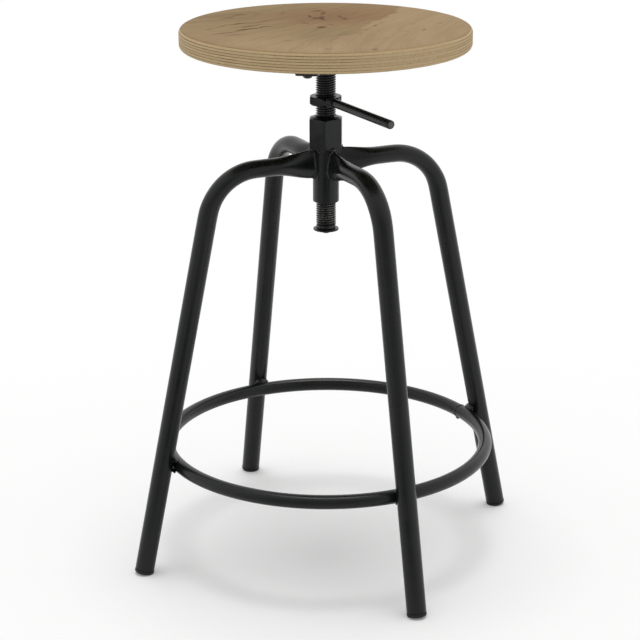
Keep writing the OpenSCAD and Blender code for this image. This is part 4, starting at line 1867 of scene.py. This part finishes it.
@dataclass(frozen=True)
class Studio:
    """Pale floor under soft light, seen from where the photograph was taken."""

    lens_mm: float = 111.0
    sensor_mm: float = 36.0
    # The nearest and the furthest that the camera sees
    sight: Point2 = (0.1, 60)
    eye: Point3 = (0.8382, -2.3254, 1.1326)
    heading: float = math.radians(20)
    aim_turn: float = math.radians(0.013)
    pitch: float = math.radians(18.36)
    roll: float = math.radians(-0.18)
    sky: float = 0.68
    # How dim the sky is behind the camera, and between which directions it brightens, where -1 is
    # straight back and 1 is straight ahead
    sky_dimmest: float = 0.45
    sky_dims: Point2 = (-1.0, -0.3)
    lamp_power: float = 1.08
    lamp_angle: float = math.radians(30)
    lamp_lean: float = math.radians(4.5)
    lamp_height: float = 2.5
    floor_size: float = 60
    # The paper's linear colour, and the light that it adds by itself for the eye and for mirrors
    paper: Point3 = (0.9, 0.9036, 0.9)
    floor_lift: float = 0.12
    # Linear colour of the painted shade that metal mirrors in front of the stool, and the middle and
    # reach of each place where the floor shows it to mirrors
    mirrored_shade: Point3 = (0.03, 0.03, 0.03)
    mirrored_shade_spots: tuple[tuple[Point2, Point2], ...] = (
        ((-0.25, -2.0), (1.5, 2.2)),
        ((-2.5, -1.6), (1.5, 1.3)),
    )

    def camera(self) -> None:
        """Sets up the camera."""
        data = bpy.data.cameras.new("photo_camera")
        data.lens = self.lens_mm
        data.sensor_width = self.sensor_mm
        data.clip_start, data.clip_end = self.sight
        camera = bpy.data.objects.new("photo_camera", data)
        bpy.context.scene.collection.objects.link(camera)
        down = Matrix.Rotation(math.pi / 2 - self.pitch, 4, "X")
        look = about_z(self.heading + self.aim_turn) @ down @ about_z(self.roll)
        camera.matrix_world = Matrix.Translation(self.eye) @ look
        bpy.context.scene.camera = camera

    def floor(self) -> None:
        """Lays the floor: matt white paper that keeps the stool's shadow."""
        rest_hands()
        bpy.ops.mesh.primitive_plane_add(size=self.floor_size, location=(0, 0, 0))
        floor = bpy.context.active_object
        floor.name = "floor"
        material, tree, shader, spot = new_finish("matt_white_paper", 0.0)
        # Painted shade for mirrors only: in front of the stool the floor looks dark to glossy rays, and
        # gives them no light of its own there
        path = add_node(tree, "LightPath").node.outputs
        plan = add_node(tree, "Mapping", {"Vector": spot, "Rotation": (0, 0, -self.heading)})
        spots = [soft_spot(tree, plan, middle, 0, reach) for middle, reach in self.mirrored_shade_spots]
        mirrored_shade = add_node(tree, "Math", spots, operation="MAXIMUM")
        mirrored_shade = add_node(tree, "Math", (mirrored_shade, path["Is Glossy Ray"]), operation="MULTIPLY")
        tones = {0: mirrored_shade, COLOUR_A: (*self.paper, 1), COLOUR_B: (*self.mirrored_shade, 1)}
        paper = add_node(tree, "Mix", tones, MIXED_COLOUR, data_type="RGBA")
        seen = path["Is Camera Ray"]
        for kind in ("Is Glossy Ray", "Is Transmission Ray"):
            seen = add_node(tree, "Math", (seen, path[kind]), operation="MAXIMUM")
        lift = add_node(tree, "MapRange", (mirrored_shade, 0.0, 1.0, self.floor_lift, 0.0))
        lift = add_node(tree, "Math", (seen, lift), operation="MULTIPLY")
        glow = {"Emission Color": (1, 1, 1, 1), "Emission Strength": lift}
        feed(tree, shader, {"Base Color": paper, "Roughness": 1.0, **glow})
        floor.data.materials.append(material)

    def lamp(self) -> None:
        """Hangs the broad soft lamp above and a little behind the stool."""
        data = bpy.data.lights.new("overhead_lamp", "SUN")
        data.energy = self.lamp_power
        data.angle = self.lamp_angle
        lamp = bpy.data.objects.new("overhead_lamp", data)
        bpy.context.scene.collection.objects.link(lamp)
        lean = about_z(self.heading) @ Matrix.Rotation(-self.lamp_lean, 4, "X")
        lamp.matrix_world = Matrix.Translation((0, 0, self.lamp_height)) @ lean

    def world(self) -> None:
        """Fills the studio with soft light, dimmer from where the camera stands."""
        world = bpy.data.worlds.new("studio")
        bpy.context.scene.world = world
        world.use_nodes = True
        tree = world.node_tree
        path = add_node(tree, "LightPath").node.outputs
        way = add_node(tree, "TexCoord", out="Generated")
        facing = add_node(tree, "Mapping", {"Vector": way, "Rotation": (0, 0, -self.heading)})
        ahead = add_node(tree, "SeparateXYZ", (facing,), "Y")
        dim = add_node(
            tree, "MapRange", (ahead, *self.sky_dims, self.sky_dimmest, 1.0),
            interpolation_type="SMOOTHSTEP",
        )
        light = add_node(tree, "Math", (dim, self.sky), operation="MULTIPLY")
        for kind, shown in (("Is Glossy Ray", dim), ("Is Camera Ray", 1.0)):
            tones = {0: path[kind], NUMBER_A: light, NUMBER_B: shown}
            light = add_node(tree, "Mix", tones, data_type="FLOAT")
        feed(tree, tree.nodes["Background"], {"Color": (1, 1, 1, 1), "Strength": light})

    def build(self) -> None:
        """Sets everything up."""
        bpy.context.scene.view_settings.view_transform = "Standard"
        self.camera()
        self.floor()
        self.lamp()
        self.world()


# Putting it together


class Stool:
    """The whole stool: builds each sub-assembly, dresses it and lets it ride on its body."""

    SEED = 7

    def __init__(self) -> None:
        """Sets up the sub-assemblies and the finishes."""
        self.dice = random.Random(self.SEED)
        self.board = SeatBoard()
        self.spindle = Spindle()
        self.wood = Plywood("lacquered_birch_plywood", self.board).material()
        self.tube_coat = PowderCoat("satin_black_powder_coat").material()
        self.nut_coat = PowderCoat(
            "black_coat_on_nuts", roughness=0.24, cloud_mm=14, specular=0.34
        ).material()
        self.weld_coat = PowderCoat(
            "black_coat_on_welds", roughness=0.22, specular=0.45, peel_mm=3.0, peel_depth_mm=0.08,
            cloud_mm=6,
        ).material()
        self.zinc = PowderCoat(
            "black_zinc_on_screws", dark="#131414", light="#1d1e1f", specular=0.5, roughness=0.28,
            cloud_mm=5,
        ).material()
        self.thread = ThreadSteel("blackened_steel_thread", self.spindle).material()
        self.plastic = MouldedCap("moulded_polyethylene").material()

    @staticmethod
    def add(
        piece: bpy.types.Object, body: str, node: str, slot: str, finish: bpy.types.Material
    ) -> None:
        """Dresses a piece and lets it stand for its node.

        Args:
            piece: The finished piece.
            body: The body that it rides on.
            node: The node that it stands for.
            slot: Name of a material slot. It is not used.
            finish: Its material.
        """
        piece.data.materials.clear()
        piece.data.materials.append(finish)
        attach(piece, body)
        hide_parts(node)
        LOG.info("%s: %d faces, rides on %s", piece.name, len(piece.data.polygons), body)

    def build_seat(self) -> None:
        """Builds what turns with the seat."""
        bracket, stop = SeatBracket(), StopWasher()
        self.add(self.board.build(), "seat", "seat_board", "plywood", self.wood)
        self.add(bracket.build_cross(), "seat", "seat_bracket", "steel_dark", self.tube_coat)
        self.add(bracket.build_screws(), "seat", "bracket_screws", "screw_black", self.zinc)
        self.add(bracket.build_weld(self.dice), "seat", "bracket_weld", "weld", self.weld_coat)
        self.add(self.spindle.build(), "seat", "spindle", "thread_steel", self.thread)
        self.add(stop.build_washer(), "lift", "stop_washer", "steel_dark", self.nut_coat)
        self.add(stop.build_screw(), "seat", "stop_screw", "screw_black", self.zinc)

    def build_lock(self) -> None:
        """Builds the lock nut with its lever."""
        lever = LockLever()
        nut = HexNut("lock_nut_hex", 40 * MM, 602.1 * MM, 11 * MM, lever.turn - math.radians(30))
        self.add(nut.build(), "lock", "lock_nut", "nut_black", self.nut_coat)
        # The lever's outer end is painted paler as a highlight
        coat = PowderCoat(
            "black_coat_on_lever", roughness=0.24, cloud_mm=14, specular=0.22, highlight_at=tuple(lever.tip)
        ).material()
        self.add(lever.build_bar(), "lock", "lock_lever", "nut_black", coat)
        self.add(lever.build_weld(self.dice), "lock", "lever_weld", "weld", self.weld_coat)

    def build_base(self) -> None:
        """Builds what stands on the floor."""
        hub, leg = Hub(), Leg()
        nut = HexNut(
            "long_nut_hex", 41 * MM, hub.top, 42.6 * MM, math.radians(-72.5), slope_bottom=False,
            slope=8.6 * MM, slope_tilt=math.radians(21),
        )
        self.add(nut.build(), "base", "long_nut", "nut_black", self.nut_coat)
        self.add(hub.build_tube(), "base", "hub_tube", "steel_dark", self.tube_coat)
        self.add(hub.build_nut_welds(self.dice), "base", "nut_welds", "weld", self.weld_coat)
        blobs = [blob for corner in Corner for blob in leg.weld_blobs(self.dice, corner)]
        arm_welds = weld_bead("arm_weld_beads", blobs, 0.55 * MM)
        self.add(arm_welds, "base", "arm_welds", "weld", self.weld_coat)
        leg_tube = leg.build("leg_plain")
        foot_cap = FootCap(leg).build("cap_plain")
        for corner in Corner:
            name, where = corner.label, about_z(corner.turn)
            tube = copy_of(leg_tube, f"leg_tube_{name}", where)
            self.add(tube, "base", f"leg_{name}", "tube_black", self.tube_coat)
            cap = copy_of(foot_cap, f"foot_cap_{name}", where)
            self.add(cap, "base", f"cap_{name}", "cap_plastic", self.plastic)
        discard(leg_tube)
        discard(foot_cap)
        ring = FootRing(leg)
        self.add(ring.build_ring(), "base", "foot_ring", "tube_black", self.tube_coat)
        self.add(ring.build_seam(self.dice), "base", "ring_seam", "weld", self.weld_coat)
        self.add(ring.build_welds(self.dice), "base", "ring_welds", "weld", self.weld_coat)


def main() -> None:
    """Builds the studio and the stool."""
    logging.basicConfig(level=logging.INFO, format="%(relativeCreated)6d ms %(name)s: %(message)s")
    Studio().build()
    stool = Stool()
    stool.build_seat()
    stool.build_lock()
    stool.build_base()
    rest_hands()


if __name__ == "__main__":
    main()
